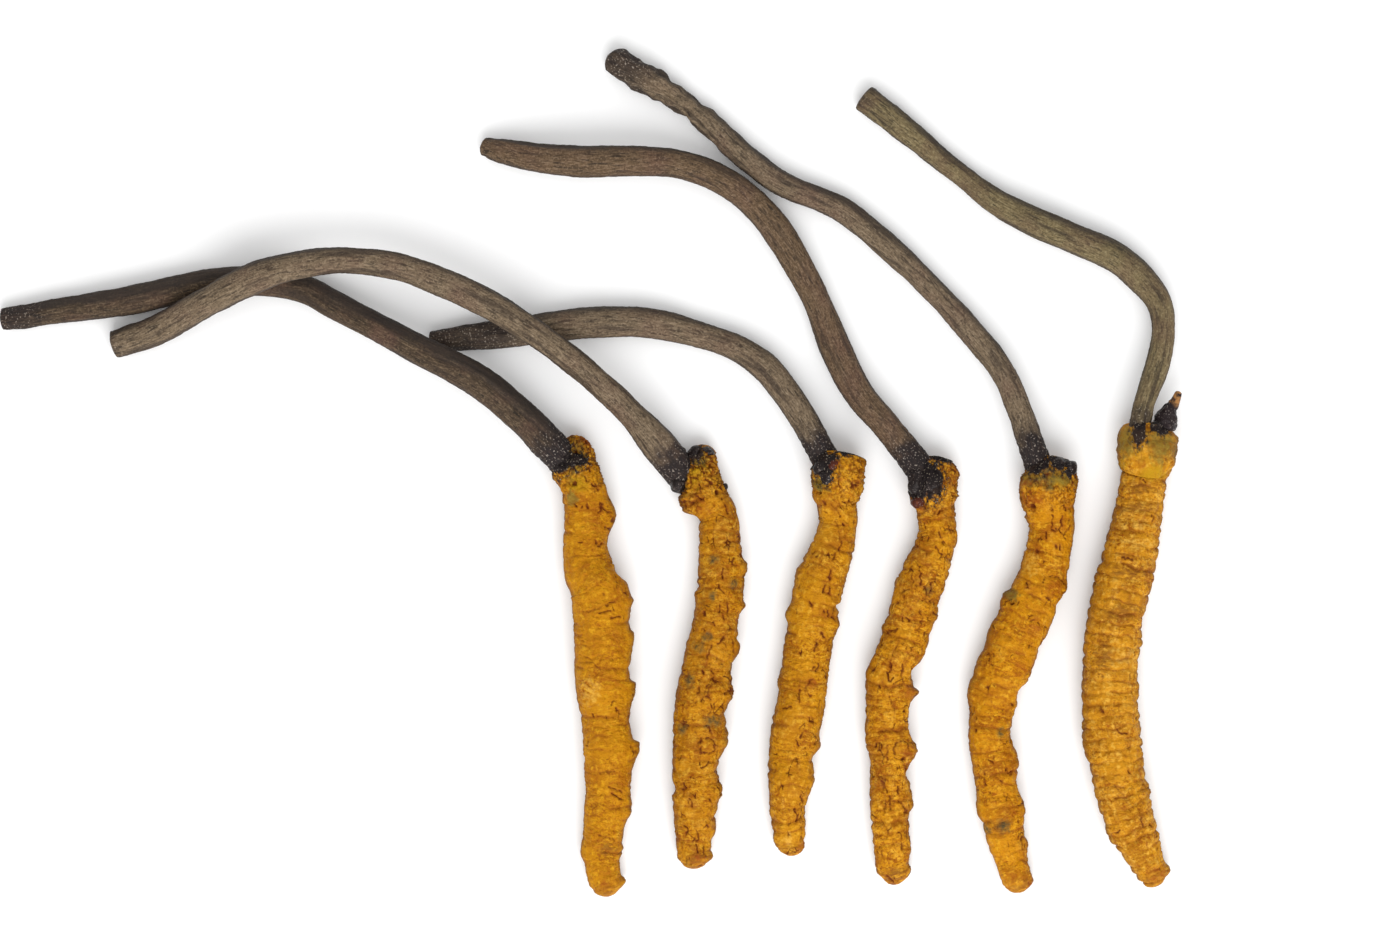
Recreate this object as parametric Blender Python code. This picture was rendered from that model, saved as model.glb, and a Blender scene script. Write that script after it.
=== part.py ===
"""A bundle of six dried cordyceps, lying side by side on a flat surface.

Each is a mummified larva with the fungus's stem grown out of its head. The heads point to +Y,
the stems sweep round to -X, and +Z is up off the surface. The first and second stems pass over what
lies under them. The stations and lumps are in millimetres, and the meshes are in metres.
"""

import math
from dataclasses import dataclass

import bmesh
import bpy
from mathutils import Vector, noise

MM = 0.001  # metres
GAP = 0.33  # between a stem's foot and the head that it grows from

BODY_SIDES = 14
BODY_RING_SPACING = 1.15
BODY_FLATNESS = 0.92  # height over width
SEGMENT_RINGS = 4  # from one crease to the next
CREASE_WIDTH = 0.6
WRINKLE_SIZE = 1.7

STEM_SIDES = 8
STEM_RING_SPACING = 2.5
STEM_FLATNESS = 0.9
STEM_GROOVE_DEPTH = 0.05

SUNK = 0.87  # height of a body's middle over its half-height, so that its underside lies flat
CAP_STEPS = 3  # rings from an end's pole to its full width
SPAN_STEPS = 10  # short chords between two stations of a spine


@dataclass(frozen=True)
class Lump:
    """A bump, or with a negative reach a pit, at one place on a larva's side.

    The angle is in degrees round the body: 0 on its +X side, 90 on top, 180 on its -X side.
    """

    y: float
    angle: float
    reach: float
    spread: float

    def rise(self, y, angle, half_width):
        """How far the lump lifts the skin at this place."""
        turn = math.radians(self.angle) - angle
        arc = math.atan2(math.sin(turn), math.cos(turn)) * half_width
        return self.reach * math.exp(-((y - self.y) ** 2 + arc**2) / self.spread**2)


@dataclass(frozen=True)
class Larva:
    """One ringed body, from its head to its tail, as stations of x, y and half-width."""

    name: str
    colour: tuple
    head_cap: float
    tail_cap: float
    crease_depth: float
    wrinkle_depth: float
    stations: tuple
    lumps: tuple


@dataclass(frozen=True)
class Stem:
    """One stem, from its free tip to its foot in the head, as stations of x, y, z and half-width."""

    name: str
    head: str
    colour: tuple
    tip_cap: float
    foot_cap: float
    stations: tuple


@dataclass(frozen=True)
class Ring:
    """One ring of points round a spine."""

    centre: Vector
    side: Vector
    up: Vector
    half_width: float
    half_height: float
    fullness: float

    def point(self, angle, relief, grown):
        """The skin at this angle, with its relief, and grown outwards all round."""
        out = relief(self.centre, angle, self.half_width) + grown
        across = math.cos(angle) * (self.half_width + out) * self.fullness
        above = math.sin(angle) * (self.half_height + out) * self.fullness
        return self.centre + self.side * across + self.up * above


LARVAE = (
    Larva(
        "larva_1",
        (0.63, 0.29, 0.020),
        0.8,
        1.0,
        0.12,
        0.12,
        (
            (-1.1, 3.5, 1.0),
            (-1.4, 2.3, 1.8),
            (-1.5, 0.4, 2.35),
            (-0.9, -1.6, 2.4),
            (-0.4, -3.4, 2.25),
            (-0.4, -7.9, 2.4),
            (0.0, -10.0, 2.65),
            (0.95, -12.0, 2.95),
            (1.15, -16.3, 2.8),
            (1.2, -21.1, 2.75),
            (1.5, -24.9, 2.4),
            (1.8, -27.8, 2.55),
            (1.7, -31.8, 2.25),
            (1.3, -35.7, 2.05),
            (1.1, -38.5, 1.8),
            (1.4, -40.6, 1.7),
            (2.0, -42.4, 1.2),
        ),
        (
            Lump(-4.2, 0, 0.5, 0.8),
            Lump(-11.8, 0, 0.3, 0.6),
            Lump(-16.0, 0, 0.3, 0.7),
            Lump(-21.2, 0, 0.55, 0.7),
            Lump(-27.4, 0, 0.5, 0.6),
            Lump(-34.8, 0, -0.45, 0.5),
            Lump(-41.0, 0, 0.35, 0.5),
        ),
    ),
    Larva(
        "larva_2",
        (0.55, 0.25, 0.018),
        1.0,
        1.2,
        0.2,
        0.22,
        (
            (11.25, 2.8, 1.3),
            (11.1, 0.0, 1.8),
            (11.4, -1.6, 2.0),
            (12.0, -3.2, 2.15),
            (12.8, -4.8, 2.05),
            (13.0, -9.8, 2.3),
            (12.9, -12.8, 2.35),
            (12.3, -16.3, 2.4),
            (11.6, -19.3, 2.45),
            (11.1, -22.8, 2.65),
            (10.8, -25.8, 2.55),
            (10.5, -29.3, 2.35),
            (10.5, -32.8, 2.3),
            (10.4, -35.3, 2.05),
            (10.3, -37.3, 1.75),
            (10.4, -39.7, 1.4),
        ),
        (
            Lump(-2.5, 180, 0.8, 0.7),
            Lump(-9.2, 0, 0.3, 0.6),
            Lump(-14.8, 0, -0.4, 0.6),
            Lump(-17.0, 0, 0.3, 0.5),
            Lump(-21.6, 0, 0.4, 0.6),
            Lump(-24.9, 0, -0.3, 0.5),
            Lump(-26.5, 0, 0.5, 0.6),
            Lump(-28.9, 0, -0.3, 0.5),
            Lump(-30.8, 180, -0.3, 0.5),
            Lump(-31.9, 0, 0.3, 0.5),
        ),
    ),
    Larva(
        "larva_3",
        (0.58, 0.27, 0.020),
        0.5,
        0.9,
        0.18,
        0.2,
        (
            (25.1, 2.0, 2.3),
            (24.8, 0.2, 2.65),
            (24.7, -1.3, 2.6),
            (24.5, -3.0, 2.3),
            (24.8, -4.8, 1.95),
            (24.4, -6.9, 2.1),
            (23.7, -9.0, 2.3),
            (23.0, -11.0, 2.45),
            (22.5, -13.2, 2.45),
            (21.65, -19.0, 2.3),
            (21.2, -22.3, 2.4),
            (20.7, -25.0, 2.45),
            (20.3, -27.8, 2.15),
            (20.0, -30.8, 2.15),
            (19.75, -33.3, 1.85),
            (19.9, -35.6, 1.65),
            (20.3, -38.4, 1.1),
        ),
        (
            Lump(1.4, 0, 0.4, 0.6),
            Lump(-9.5, 180, 0.2, 0.5),
            Lump(-12.9, 0, -0.45, 0.5),
            Lump(-14.7, 0, 0.25, 0.5),
            Lump(-18.0, 0, 0.2, 0.5),
            Lump(-26.1, 0, 0.35, 0.5),
            Lump(-28.1, 0, -0.3, 0.5),
            Lump(-30.0, 0, 0.3, 0.5),
            Lump(-33.4, 0, 0.2, 0.5),
        ),
    ),
    Larva(
        "larva_4",
        (0.52, 0.22, 0.018),
        0.7,
        0.9,
        0.2,
        0.25,
        (
            (34.9, 1.5, 1.5),
            (34.5, -0.7, 2.3),
            (34.2, -2.5, 2.3),
            (34.6, -4.3, 1.95),
            (34.7, -6.3, 2.0),
            (34.1, -8.4, 2.1),
            (33.3, -10.8, 2.25),
            (32.4, -13.0, 2.3),
            (31.8, -15.6, 2.3),
            (31.0, -18.0, 2.4),
            (30.1, -20.3, 2.3),
            (29.8, -22.8, 2.2),
            (29.7, -25.3, 2.15),
            (30.0, -28.0, 2.1),
            (29.9, -33.8, 1.95),
            (30.1, -36.8, 1.85),
            (30.2, -39.0, 1.6),
            (30.6, -41.3, 1.0),
        ),
        (
            Lump(-18.6, 0, 0.4, 0.6),
            Lump(-20.1, 0, -0.65, 0.5),
            Lump(-22.1, 0, 0.5, 0.6),
            Lump(-28.2, 0, 0.5, 0.6),
            Lump(-30.2, 0, -0.35, 0.5),
            Lump(-32.0, 0, 0.3, 0.5),
            Lump(-37.2, 0, 0.2, 0.5),
        ),
    ),
    Larva(
        "larva_5",
        (0.55, 0.24, 0.018),
        0.6,
        0.8,
        0.18,
        0.16,
        (
            (46.1, 1.4, 1.8),
            (45.9, -0.5, 2.7),
            (45.7, -2.0, 2.9),
            (45.9, -3.6, 2.55),
            (46.15, -5.6, 2.3),
            (45.8, -7.8, 2.3),
            (45.3, -10.0, 2.4),
            (44.5, -12.2, 2.55),
            (43.4, -14.8, 2.65),
            (41.6, -19.2, 2.6),
            (40.9, -21.4, 2.4),
            (40.25, -23.6, 2.2),
            (39.95, -26.3, 2.2),
            (40.3, -29.0, 2.15),
            (41.1, -34.0, 2.15),
            (41.6, -36.6, 1.95),
            (42.1, -38.6, 1.65),
            (42.6, -40.4, 1.55),
            (43.3, -42.0, 0.9),
        ),
        (
            Lump(0.0, 0, 0.3, 0.8),
            Lump(-11.7, 0, 0.4, 0.6),
            Lump(-12.1, 180, 0.25, 0.6),
            Lump(-16.0, 0, 0.3, 0.5),
            Lump(-21.3, 0, -0.35, 0.6),
            Lump(-22.2, 180, 0.3, 0.6),
            Lump(-29.2, 0, 0.35, 0.6),
            Lump(-31.0, 0, -0.3, 0.5),
            Lump(-34.0, 0, 0.2, 0.5),
            Lump(-40.8, 0, 0.3, 0.5),
        ),
    ),
    Larva(
        "larva_6",
        (0.58, 0.32, 0.045),
        0.8,
        1.1,
        0.2,
        0.08,
        (
            (55.8, 4.8, 2.5),
            (55.6, 3.4, 2.95),
            (55.6, 2.0, 3.1),
            (55.6, 0.9, 2.8),
            (55.5, -0.1, 2.35),
            (55.2, -1.6, 2.4),
            (54.9, -3.4, 2.45),
            (54.5, -5.4, 2.55),
            (54.0, -8.0, 2.75),
            (53.4, -10.8, 2.85),
            (52.2, -16.3, 2.85),
            (51.9, -22.2, 2.8),
            (52.2, -25.4, 2.8),
            (53.0, -31.4, 2.65),
            (53.8, -34.0, 2.6),
            (54.7, -36.6, 2.25),
            (55.4, -38.3, 1.95),
            (56.0, -39.6, 1.65),
            (56.6, -41.5, 1.2),
        ),
        (
            Lump(-1.0, 0, -0.2, 0.6),
            Lump(-36.4, 0, -0.3, 0.6),
        ),
    ),
)

STEMS = (
    Stem(
        "stem_1",
        "larva_1",
        (0.105, 0.075, 0.055),
        0.35,
        0.7,
        (
            (-59.2, 15.4, 1.0, 1.05),
            (-57.0, 15.6, 1.05, 1.15),
            (-54.5, 16.0, 1.15, 1.23),
            (-47.0, 17.1, 1.3, 1.45),
            (-39.0, 18.8, 1.35, 1.5),
            (-34.0, 19.2, 1.3, 1.45),
            (-29.1, 18.5, 1.5, 1.43),
            (-25.1, 16.5, 2.0, 1.4),
            (-21.1, 14.4, 2.7, 1.42),
            (-16.1, 11.75, 3.35, 1.55),
            (-11.1, 9.1, 3.4, 1.65),
            (-7.0, 5.7, 3.1, 1.65),
            (-4.2, 2.9, 2.8, 1.7),
            (-2.6, 1.2, 2.6, 1.6),
        ),
    ),
    Stem(
        "stem_2",
        "larva_2",
        (0.110, 0.078, 0.056),
        0.35,
        0.7,
        (
            (-48.0, 12.7, 1.25, 1.35),
            (-46.0, 13.3, 1.4, 1.42),
            (-43.0, 14.4, 2.1, 1.45),
            (-38.0, 17.1, 3.9, 1.5),
            (-34.0, 19.1, 4.5, 1.55),
            (-30.1, 20.4, 4.5, 1.4),
            (-25.1, 21.1, 4.4, 1.3),
            (-20.1, 20.7, 4.35, 1.35),
            (-15.1, 19.1, 4.3, 1.45),
            (-10.1, 16.75, 4.3, 1.45),
            (-4.9, 13.5, 4.25, 1.35),
            (0.0, 9.7, 3.9, 1.3),
            (4.0, 5.9, 3.5, 1.38),
            (6.9, 2.6, 3.1, 1.75),
            (9.4, -0.4, 2.8, 1.7),
        ),
    ),
    Stem(
        "stem_3",
        "larva_3",
        (0.108, 0.078, 0.055),
        0.35,
        0.7,
        (
            (-16.2, 13.1, 0.9, 1.0),
            (-12.1, 13.6, 1.15, 1.3),
            (-7.0, 14.1, 1.3, 1.45),
            (-2.0, 14.8, 1.4, 1.55),
            (3.0, 15.1, 1.4, 1.53),
            (7.0, 14.8, 1.35, 1.48),
            (10.9, 13.8, 1.25, 1.3),
            (14.4, 12.6, 1.3, 1.33),
            (17.4, 10.6, 1.6, 1.46),
            (19.4, 8.2, 1.9, 1.43),
            (20.9, 6.0, 2.2, 1.4),
            (22.1, 4.0, 2.5, 1.35),
            (23.6, 1.2, 2.7, 1.45),
        ),
    ),
    Stem(
        "stem_4",
        "larva_4",
        (0.115, 0.082, 0.058),
        0.35,
        0.7,
        (
            (-10.9, 32.8, 0.8, 0.85),
            (-8.6, 32.1, 1.6, 1.25),
            (-5.0, 31.4, 2.4, 1.45),
            (-0.6, 31.1, 2.9, 1.57),
            (5.0, 31.1, 2.9, 1.52),
            (8.9, 30.8, 2.6, 1.42),
            (12.4, 29.6, 2.2, 1.45),
            (15.6, 27.6, 1.9, 1.42),
            (18.6, 24.3, 1.7, 1.5),
            (21.1, 20.2, 1.5, 1.45),
            (22.95, 16.4, 1.45, 1.38),
            (24.4, 12.7, 1.55, 1.55),
            (26.6, 8.3, 1.8, 1.5),
            (29.9, 4.3, 2.3, 1.38),
            (33.0, 0.3, 2.8, 1.5),
        ),
    ),
    Stem(
        "stem_5",
        "larva_5",
        (0.108, 0.076, 0.056),
        0.7,
        0.7,
        (
            (1.6, 41.6, 1.1, 1.1),
            (3.1, 40.9, 1.25, 1.35),
            (5.5, 39.5, 1.3, 1.4),
            (9.0, 37.3, 1.1, 1.1),
            (12.1, 34.8, 1.15, 1.2),
            (15.4, 31.7, 1.2, 1.25),
            (18.9, 29.1, 1.15, 1.23),
            (22.9, 27.4, 1.15, 1.2),
            (25.9, 25.8, 1.15, 1.25),
            (30.9, 21.6, 1.2, 1.26),
            (35.0, 17.55, 1.25, 1.22),
            (39.0, 13.1, 1.5, 1.27),
            (41.3, 9.9, 1.9, 1.22),
            (42.9, 6.2, 2.3, 1.25),
            (44.1, 2.6, 2.7, 1.3),
            (44.8, 0.8, 2.8, 1.4),
        ),
    ),
    Stem(
        "stem_6",
        "larva_6",
        (0.125, 0.098, 0.062),
        0.3,
        0.6,
        (
            (27.2, 37.7, 1.25, 1.35),
            (29.4, 36.0, 1.25, 1.33),
            (33.0, 33.1, 1.15, 1.2),
            (37.0, 29.85, 1.05, 1.07),
            (41.0, 26.9, 1.25, 1.32),
            (45.0, 24.9, 1.4, 1.52),
            (49.0, 23.2, 1.4, 1.48),
            (52.5, 21.6, 1.4, 1.5),
            (55.1, 19.4, 1.5, 1.45),
            (56.9, 17.0, 1.7, 1.27),
            (57.3, 14.2, 2.0, 1.15),
            (56.8, 11.2, 2.5, 1.2),
            (55.9, 8.6, 3.1, 1.1),
            (55.1, 6.2, 3.5, 1.03),
            (54.4, 3.3, 3.9, 1.25),
        ),
    ),
    Stem(
        "stub_6",
        "larva_6",
        (0.045, 0.028, 0.020),
        0.2,
        0.5,
        (
            (58.75, 8.1, 3.6, 0.3),
            (58.3, 7.0, 3.5, 0.5),
            (57.8, 6.2, 3.4, 0.8),
            (57.45, 5.2, 3.2, 1.15),
            (57.15, 4.2, 3.1, 1.2),
        ),
    ),
)


def spline(before, start, end, after, t):
    """A point between start and end on the smooth curve that also heeds the stations on each side."""
    bend = 2 * before - 5 * start + 4 * end - after
    swing = 3 * start - before - 3 * end + after
    return start + (end - before) * t / 2 + bend * t**2 / 2 + swing * t**3 / 2


def smooth_curve(stations):
    """Closely spaced points on a smooth curve through the stations, which hold x, y, z and half-width."""
    fixed = [Vector(station) for station in stations]
    ended = [2 * fixed[0] - fixed[1], *fixed, 2 * fixed[-1] - fixed[-2]]
    curve = []
    for span in range(len(fixed) - 1):
        curve += [spline(*ended[span : span + 4], step / SPAN_STEPS) for step in range(SPAN_STEPS)]
    return [*curve, fixed[-1]]


def ring_places(length, first_cap, last_cap, spacing):
    """Each ring's distance along the spine and its fullness, from one end's pole to the other's."""
    turns = [math.pi / 2 * step / CAP_STEPS for step in range(CAP_STEPS + 1)]
    first = [(first_cap * (1 - math.cos(turn)), math.sin(turn)) for turn in turns]
    last = [(length - last_cap * (1 - math.cos(turn)), math.sin(turn)) for turn in turns]
    middle = length - first_cap - last_cap
    count = round(middle / spacing)
    between = [(first_cap + middle * step / count, 1.0) for step in range(1, count)]
    return first + between + last[::-1]


def rings_along(stations, first_cap, last_cap, spacing, flatness):
    """The rings of a body drawn along a smooth curve through its stations."""
    curve = smooth_curve(stations)
    reached = [0.0]
    for start, end in zip(curve, curve[1:]):
        reached.append(reached[-1] + (end.xyz - start.xyz).length)
    rings = []
    for distance, fullness in ring_places(reached[-1], first_cap, last_cap, spacing):
        after = next((k for k in range(1, len(curve) - 1) if reached[k] >= distance), len(curve) - 1)
        share = (distance - reached[after - 1]) / (reached[after] - reached[after - 1])
        middle = curve[after - 1].lerp(curve[after], share)
        ahead = (curve[after].xyz - curve[after - 1].xyz).normalized()
        side = Vector((0, 0, 1)).cross(ahead).normalized()
        half_height = middle.w * flatness
        rings.append(Ring(middle.xyz, side, ahead.cross(side), middle.w, half_height, fullness))
    return rings


def drawn_out(name, rings, sides, relief, grown=0.0, rests=True):
    """A closed mesh: a sphere whose latitudes are drawn out into the rings, first ring at its -Z pole."""
    bm = bmesh.new()
    last = len(rings) - 1
    bmesh.ops.create_uvsphere(bm, u_segments=sides, v_segments=last, radius=1.0)
    for vert in bm.verts:
        latitude = math.acos(max(-1.0, min(1.0, -vert.co.z)))
        ring = rings[round(latitude / math.pi * last)]
        point = ring.point(math.atan2(vert.co.y, vert.co.x), relief, grown)
        if rests:
            point.z = max(point.z, 0.0)
        vert.co = point * MM
    mesh = bpy.data.meshes.new(name)
    bm.to_mesh(mesh)
    bm.free()
    mesh.shade_smooth()
    return mesh


def node(name, mesh, colour, roughness):
    """A visible object with its own material."""
    material = bpy.data.materials.new(name)
    material.use_nodes = True
    shader = material.node_tree.nodes["Principled BSDF"]
    shader.inputs["Base Color"].default_value = (*colour, 1.0)
    shader.inputs["Roughness"].default_value = roughness
    shader.inputs["Metallic"].default_value = 0.0
    mesh.materials.append(material)
    made = bpy.data.objects.new(name, mesh)
    bpy.context.collection.objects.link(made)
    return made


def larva_relief(larva, rings):
    """The skin's relief: a crease between segments, soft wrinkles, and the lumps and pits."""
    creases = [ring.centre.y for ring in rings[CAP_STEPS::SEGMENT_RINGS]]

    def relief(centre, angle, half_width):
        nearest = min(abs(centre.y - y) for y in creases)
        sunk = larva.crease_depth * math.exp(-((nearest / CREASE_WIDTH) ** 2))
        around = Vector((math.cos(angle), 0, math.sin(angle))) * half_width
        wrinkle = larva.wrinkle_depth * noise.noise((centre + around) / WRINKLE_SIZE)
        raised = sum(lump.rise(centre.y, angle, half_width) for lump in larva.lumps)
        return wrinkle + raised - sunk

    return relief


def stem_relief(centre, angle, half_width):
    """The stem's shallow lengthwise grooves."""
    return STEM_GROOVE_DEPTH * math.cos(angle * STEM_SIDES / 2)


def build_larva(larva):
    """One ringed body, lying on the surface."""
    lying = [(x, y, width * BODY_FLATNESS * SUNK, width) for x, y, width in larva.stations]
    caps = larva.head_cap, larva.tail_cap
    rings = rings_along(lying, *caps, BODY_RING_SPACING, BODY_FLATNESS)
    relief = larva_relief(larva, rings)
    mesh = drawn_out(larva.name, rings, BODY_SIDES, relief)
    return node(larva.name, mesh, larva.colour, 0.6)


def build_stem(stem, heads):
    """One stem, with the socket that its foot leaves in the head it grows from."""
    rings = rings_along(stem.stations, stem.tip_cap, stem.foot_cap, STEM_RING_SPACING, STEM_FLATNESS)
    made = node(stem.name, drawn_out(stem.name, rings, STEM_SIDES, stem_relief), stem.colour, 0.75)

    end, before = Vector(stem.stations[-1]), Vector(stem.stations[-2])
    ahead = (end.xyz - before.xyz).normalized()
    longer = (*stem.stations[:-1], (*(end.xyz + ahead * GAP), end.w))
    wide = rings_along(longer, stem.tip_cap, stem.foot_cap, STEM_RING_SPACING, STEM_FLATNESS)
    cutter_mesh = drawn_out(stem.name + "_socket", wide, STEM_SIDES, stem_relief, GAP, rests=False)
    cutter = bpy.data.objects.new(stem.name + "_socket", cutter_mesh)
    bpy.context.collection.objects.link(cutter)
    cutter.hide_render = True
    cutter.display_type = "WIRE"

    socket = heads[stem.head].modifiers.new(cutter.name, "BOOLEAN")
    socket.operation = "DIFFERENCE"
    socket.solver = "EXACT"
    socket.object = cutter
    return made


def main():
    for old in list(bpy.data.objects):
        bpy.data.objects.remove(old, do_unlink=True)
    heads = {larva.name: build_larva(larva) for larva in LARVAE}
    for stem in STEMS:
        build_stem(stem, heads)


if __name__ == "__main__":
    main()
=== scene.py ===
"""The looks of a bundle of six dried cordyceps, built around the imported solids.

Each specimen is a mummified larva, whose dry skin has turned golden, with the fungus's stem grown out
of its head. They lie side by side on a pale surface and are seen from straight above. Lengths are in
millimetres here, and become metres where a mesh is written.
"""

import itertools
import logging
import math
from collections.abc import Callable
from dataclasses import dataclass, field
from enum import Enum
from functools import cache

import bmesh
import bpy
import numpy as np
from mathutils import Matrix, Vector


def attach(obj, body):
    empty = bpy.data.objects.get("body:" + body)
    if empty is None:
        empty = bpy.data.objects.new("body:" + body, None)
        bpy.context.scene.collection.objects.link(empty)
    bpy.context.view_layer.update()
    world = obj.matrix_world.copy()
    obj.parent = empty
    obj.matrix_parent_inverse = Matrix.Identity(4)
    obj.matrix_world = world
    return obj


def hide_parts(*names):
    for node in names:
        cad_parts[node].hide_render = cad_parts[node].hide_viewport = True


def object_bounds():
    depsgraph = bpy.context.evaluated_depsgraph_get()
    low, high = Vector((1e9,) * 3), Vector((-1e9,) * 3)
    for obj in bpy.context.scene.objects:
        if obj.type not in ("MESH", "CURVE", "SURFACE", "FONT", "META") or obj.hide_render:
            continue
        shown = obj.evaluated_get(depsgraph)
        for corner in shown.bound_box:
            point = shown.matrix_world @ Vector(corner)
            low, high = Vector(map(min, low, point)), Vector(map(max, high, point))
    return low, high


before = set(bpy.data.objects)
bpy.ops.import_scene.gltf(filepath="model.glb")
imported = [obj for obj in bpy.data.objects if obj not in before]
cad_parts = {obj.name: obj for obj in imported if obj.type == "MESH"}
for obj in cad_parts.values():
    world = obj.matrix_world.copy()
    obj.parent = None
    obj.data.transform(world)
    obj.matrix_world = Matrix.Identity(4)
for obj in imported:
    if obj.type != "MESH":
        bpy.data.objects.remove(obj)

CAD_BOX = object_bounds()
BODY = "root"
MM = 0.001

log = logging.getLogger("cordyceps")
Array = np.ndarray


def linear(colour: str) -> tuple[float, float, float, float]:
    """Turn an sRGB colour into the linear one that a shader takes.

    Args:
        colour: six hex digits, with or without a leading #.

    Returns:
        Red, green, blue and an alpha of 1.
    """
    digits = colour.lstrip("#")
    channels = [int(digits[start : start + 2], 16) / 255 for start in (0, 2, 4)]
    bright = [c / 12.92 if c <= 0.04045 else ((c + 0.055) / 1.055) ** 2.4 for c in channels]
    return (*bright, 1.0)


def add(
    tree: bpy.types.NodeTree, kind: str, inputs: dict | None = None, **settings: object
) -> bpy.types.Node:
    """Add one node with its settings and links.

    Args:
        tree: the material's node tree.
        kind: the node's type name, without "ShaderNode".
        inputs: a value, or an output to link from, for each input by name or number.
        settings: the node's own properties.

    Returns:
        The new node.
    """
    node = tree.nodes.new("ShaderNode" + kind)
    for name, value in settings.items():
        setattr(node, name, value)
    for name, value in (inputs or {}).items():
        if isinstance(value, bpy.types.NodeSocket):
            tree.links.new(value, node.inputs[name])
        else:
            node.inputs[name].default_value = value
    return node


def smooth_step(low: float, high: float, value: Array) -> Array:
    """Rise smoothly from 0 at low to 1 at high."""
    share = np.clip((value - low) / (high - low), 0.0, 1.0)
    return share * share * (3 - 2 * share)


def kept_inside(points: Array) -> Array:
    """Hold points on the floor or above it, and within the CAD's box."""
    low, high = (np.array(corner) / MM for corner in CAD_BOX)
    return np.clip(points, (low[0], low[1], 0.0), high)


@dataclass(frozen=True)
class Grain:
    """Natural irregularity that comes out the same on every run: soft noise, and cells."""

    seed: int

    GAIN = 1.7

    def hashed(self, cells: Array) -> Array:
        """Give each lattice cell three numbers of its own.

        Args:
            cells: whole-number lattice places, one row each.

        Returns:
            Three numbers from 0 to 1 for each row.
        """
        # Large primes keep neighbouring cells apart, and the shifts mix the bits.
        x, y, z = (cells[:, axis].astype(np.int64).astype(np.uint32) for axis in range(3))
        mixed = x * np.uint32(73856093) ^ y * np.uint32(19349663) ^ z * np.uint32(83492791)
        mixed = mixed ^ np.uint32(self.seed * 40503 % 2**32)
        for _ in range(2):
            mixed = (mixed ^ mixed >> np.uint32(16)) * np.uint32(73244475)
        mixed = mixed ^ mixed >> np.uint32(16)
        return np.stack([(mixed >> np.uint32(shift)) % 1024 / 1023 for shift in (0, 10, 20)], axis=1)

    def noise(self, points: Array, size: float | tuple[float, float, float]) -> Array:
        """Soft noise, about -1 to 1.

        Args:
            points: places in millimetres, one row each, shifted by a number of the pattern's own.
            size: the width of a typical bump, or one width for each axis.

        Returns:
            One value for each row.
        """
        scaled = points / np.asarray(size)
        corner = np.floor(scaled)
        inside = scaled - corner
        ease = inside**3 * (inside * (inside * 6 - 15) + 10)
        total = np.zeros(len(points))
        for step in itertools.product((0, 1), repeat=3):
            slope = self.hashed(corner + step) * 2 - 1
            weight = np.prod(np.where(step, ease, 1 - ease), axis=1)
            total += weight * np.sum(slope * (inside - step), axis=1)
        return total * self.GAIN

    def cells(self, points: Array, size: float | tuple[float, float, float]) -> tuple[Array, Array, Array]:
        """Irregular cells, such as the plates of dry skin.

        Args:
            points: places in millimetres, one row each.
            size: the width of a typical cell, or one width for each axis.

        Returns:
            The distance to the cell's middle, the gap to the cell's edge, and the cell's own tone,
            the first two in cell widths.
        """
        scaled = points / np.asarray(size)
        home = np.floor(scaled)
        nearest = np.full(len(points), 9.0)
        second = nearest.copy()
        tone = np.zeros(len(points))
        for step in itertools.product((-1, 0, 1), repeat=3):
            middle = self.hashed(home + step)
            distance = np.linalg.norm(home + step + middle - scaled, axis=1)
            closer = distance < nearest
            second = np.where(closer, nearest, np.minimum(second, distance))
            tone = np.where(closer, middle[:, 0], tone)
            nearest = np.minimum(nearest, distance)
        return nearest, second - nearest, tone


@dataclass(frozen=True)
class Rings:
    """The rings along a spine: one row of each array for each ring."""

    along: Array
    centre: Array
    side: Array
    up: Array
    half_width: Array
    fullness: Array


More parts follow.
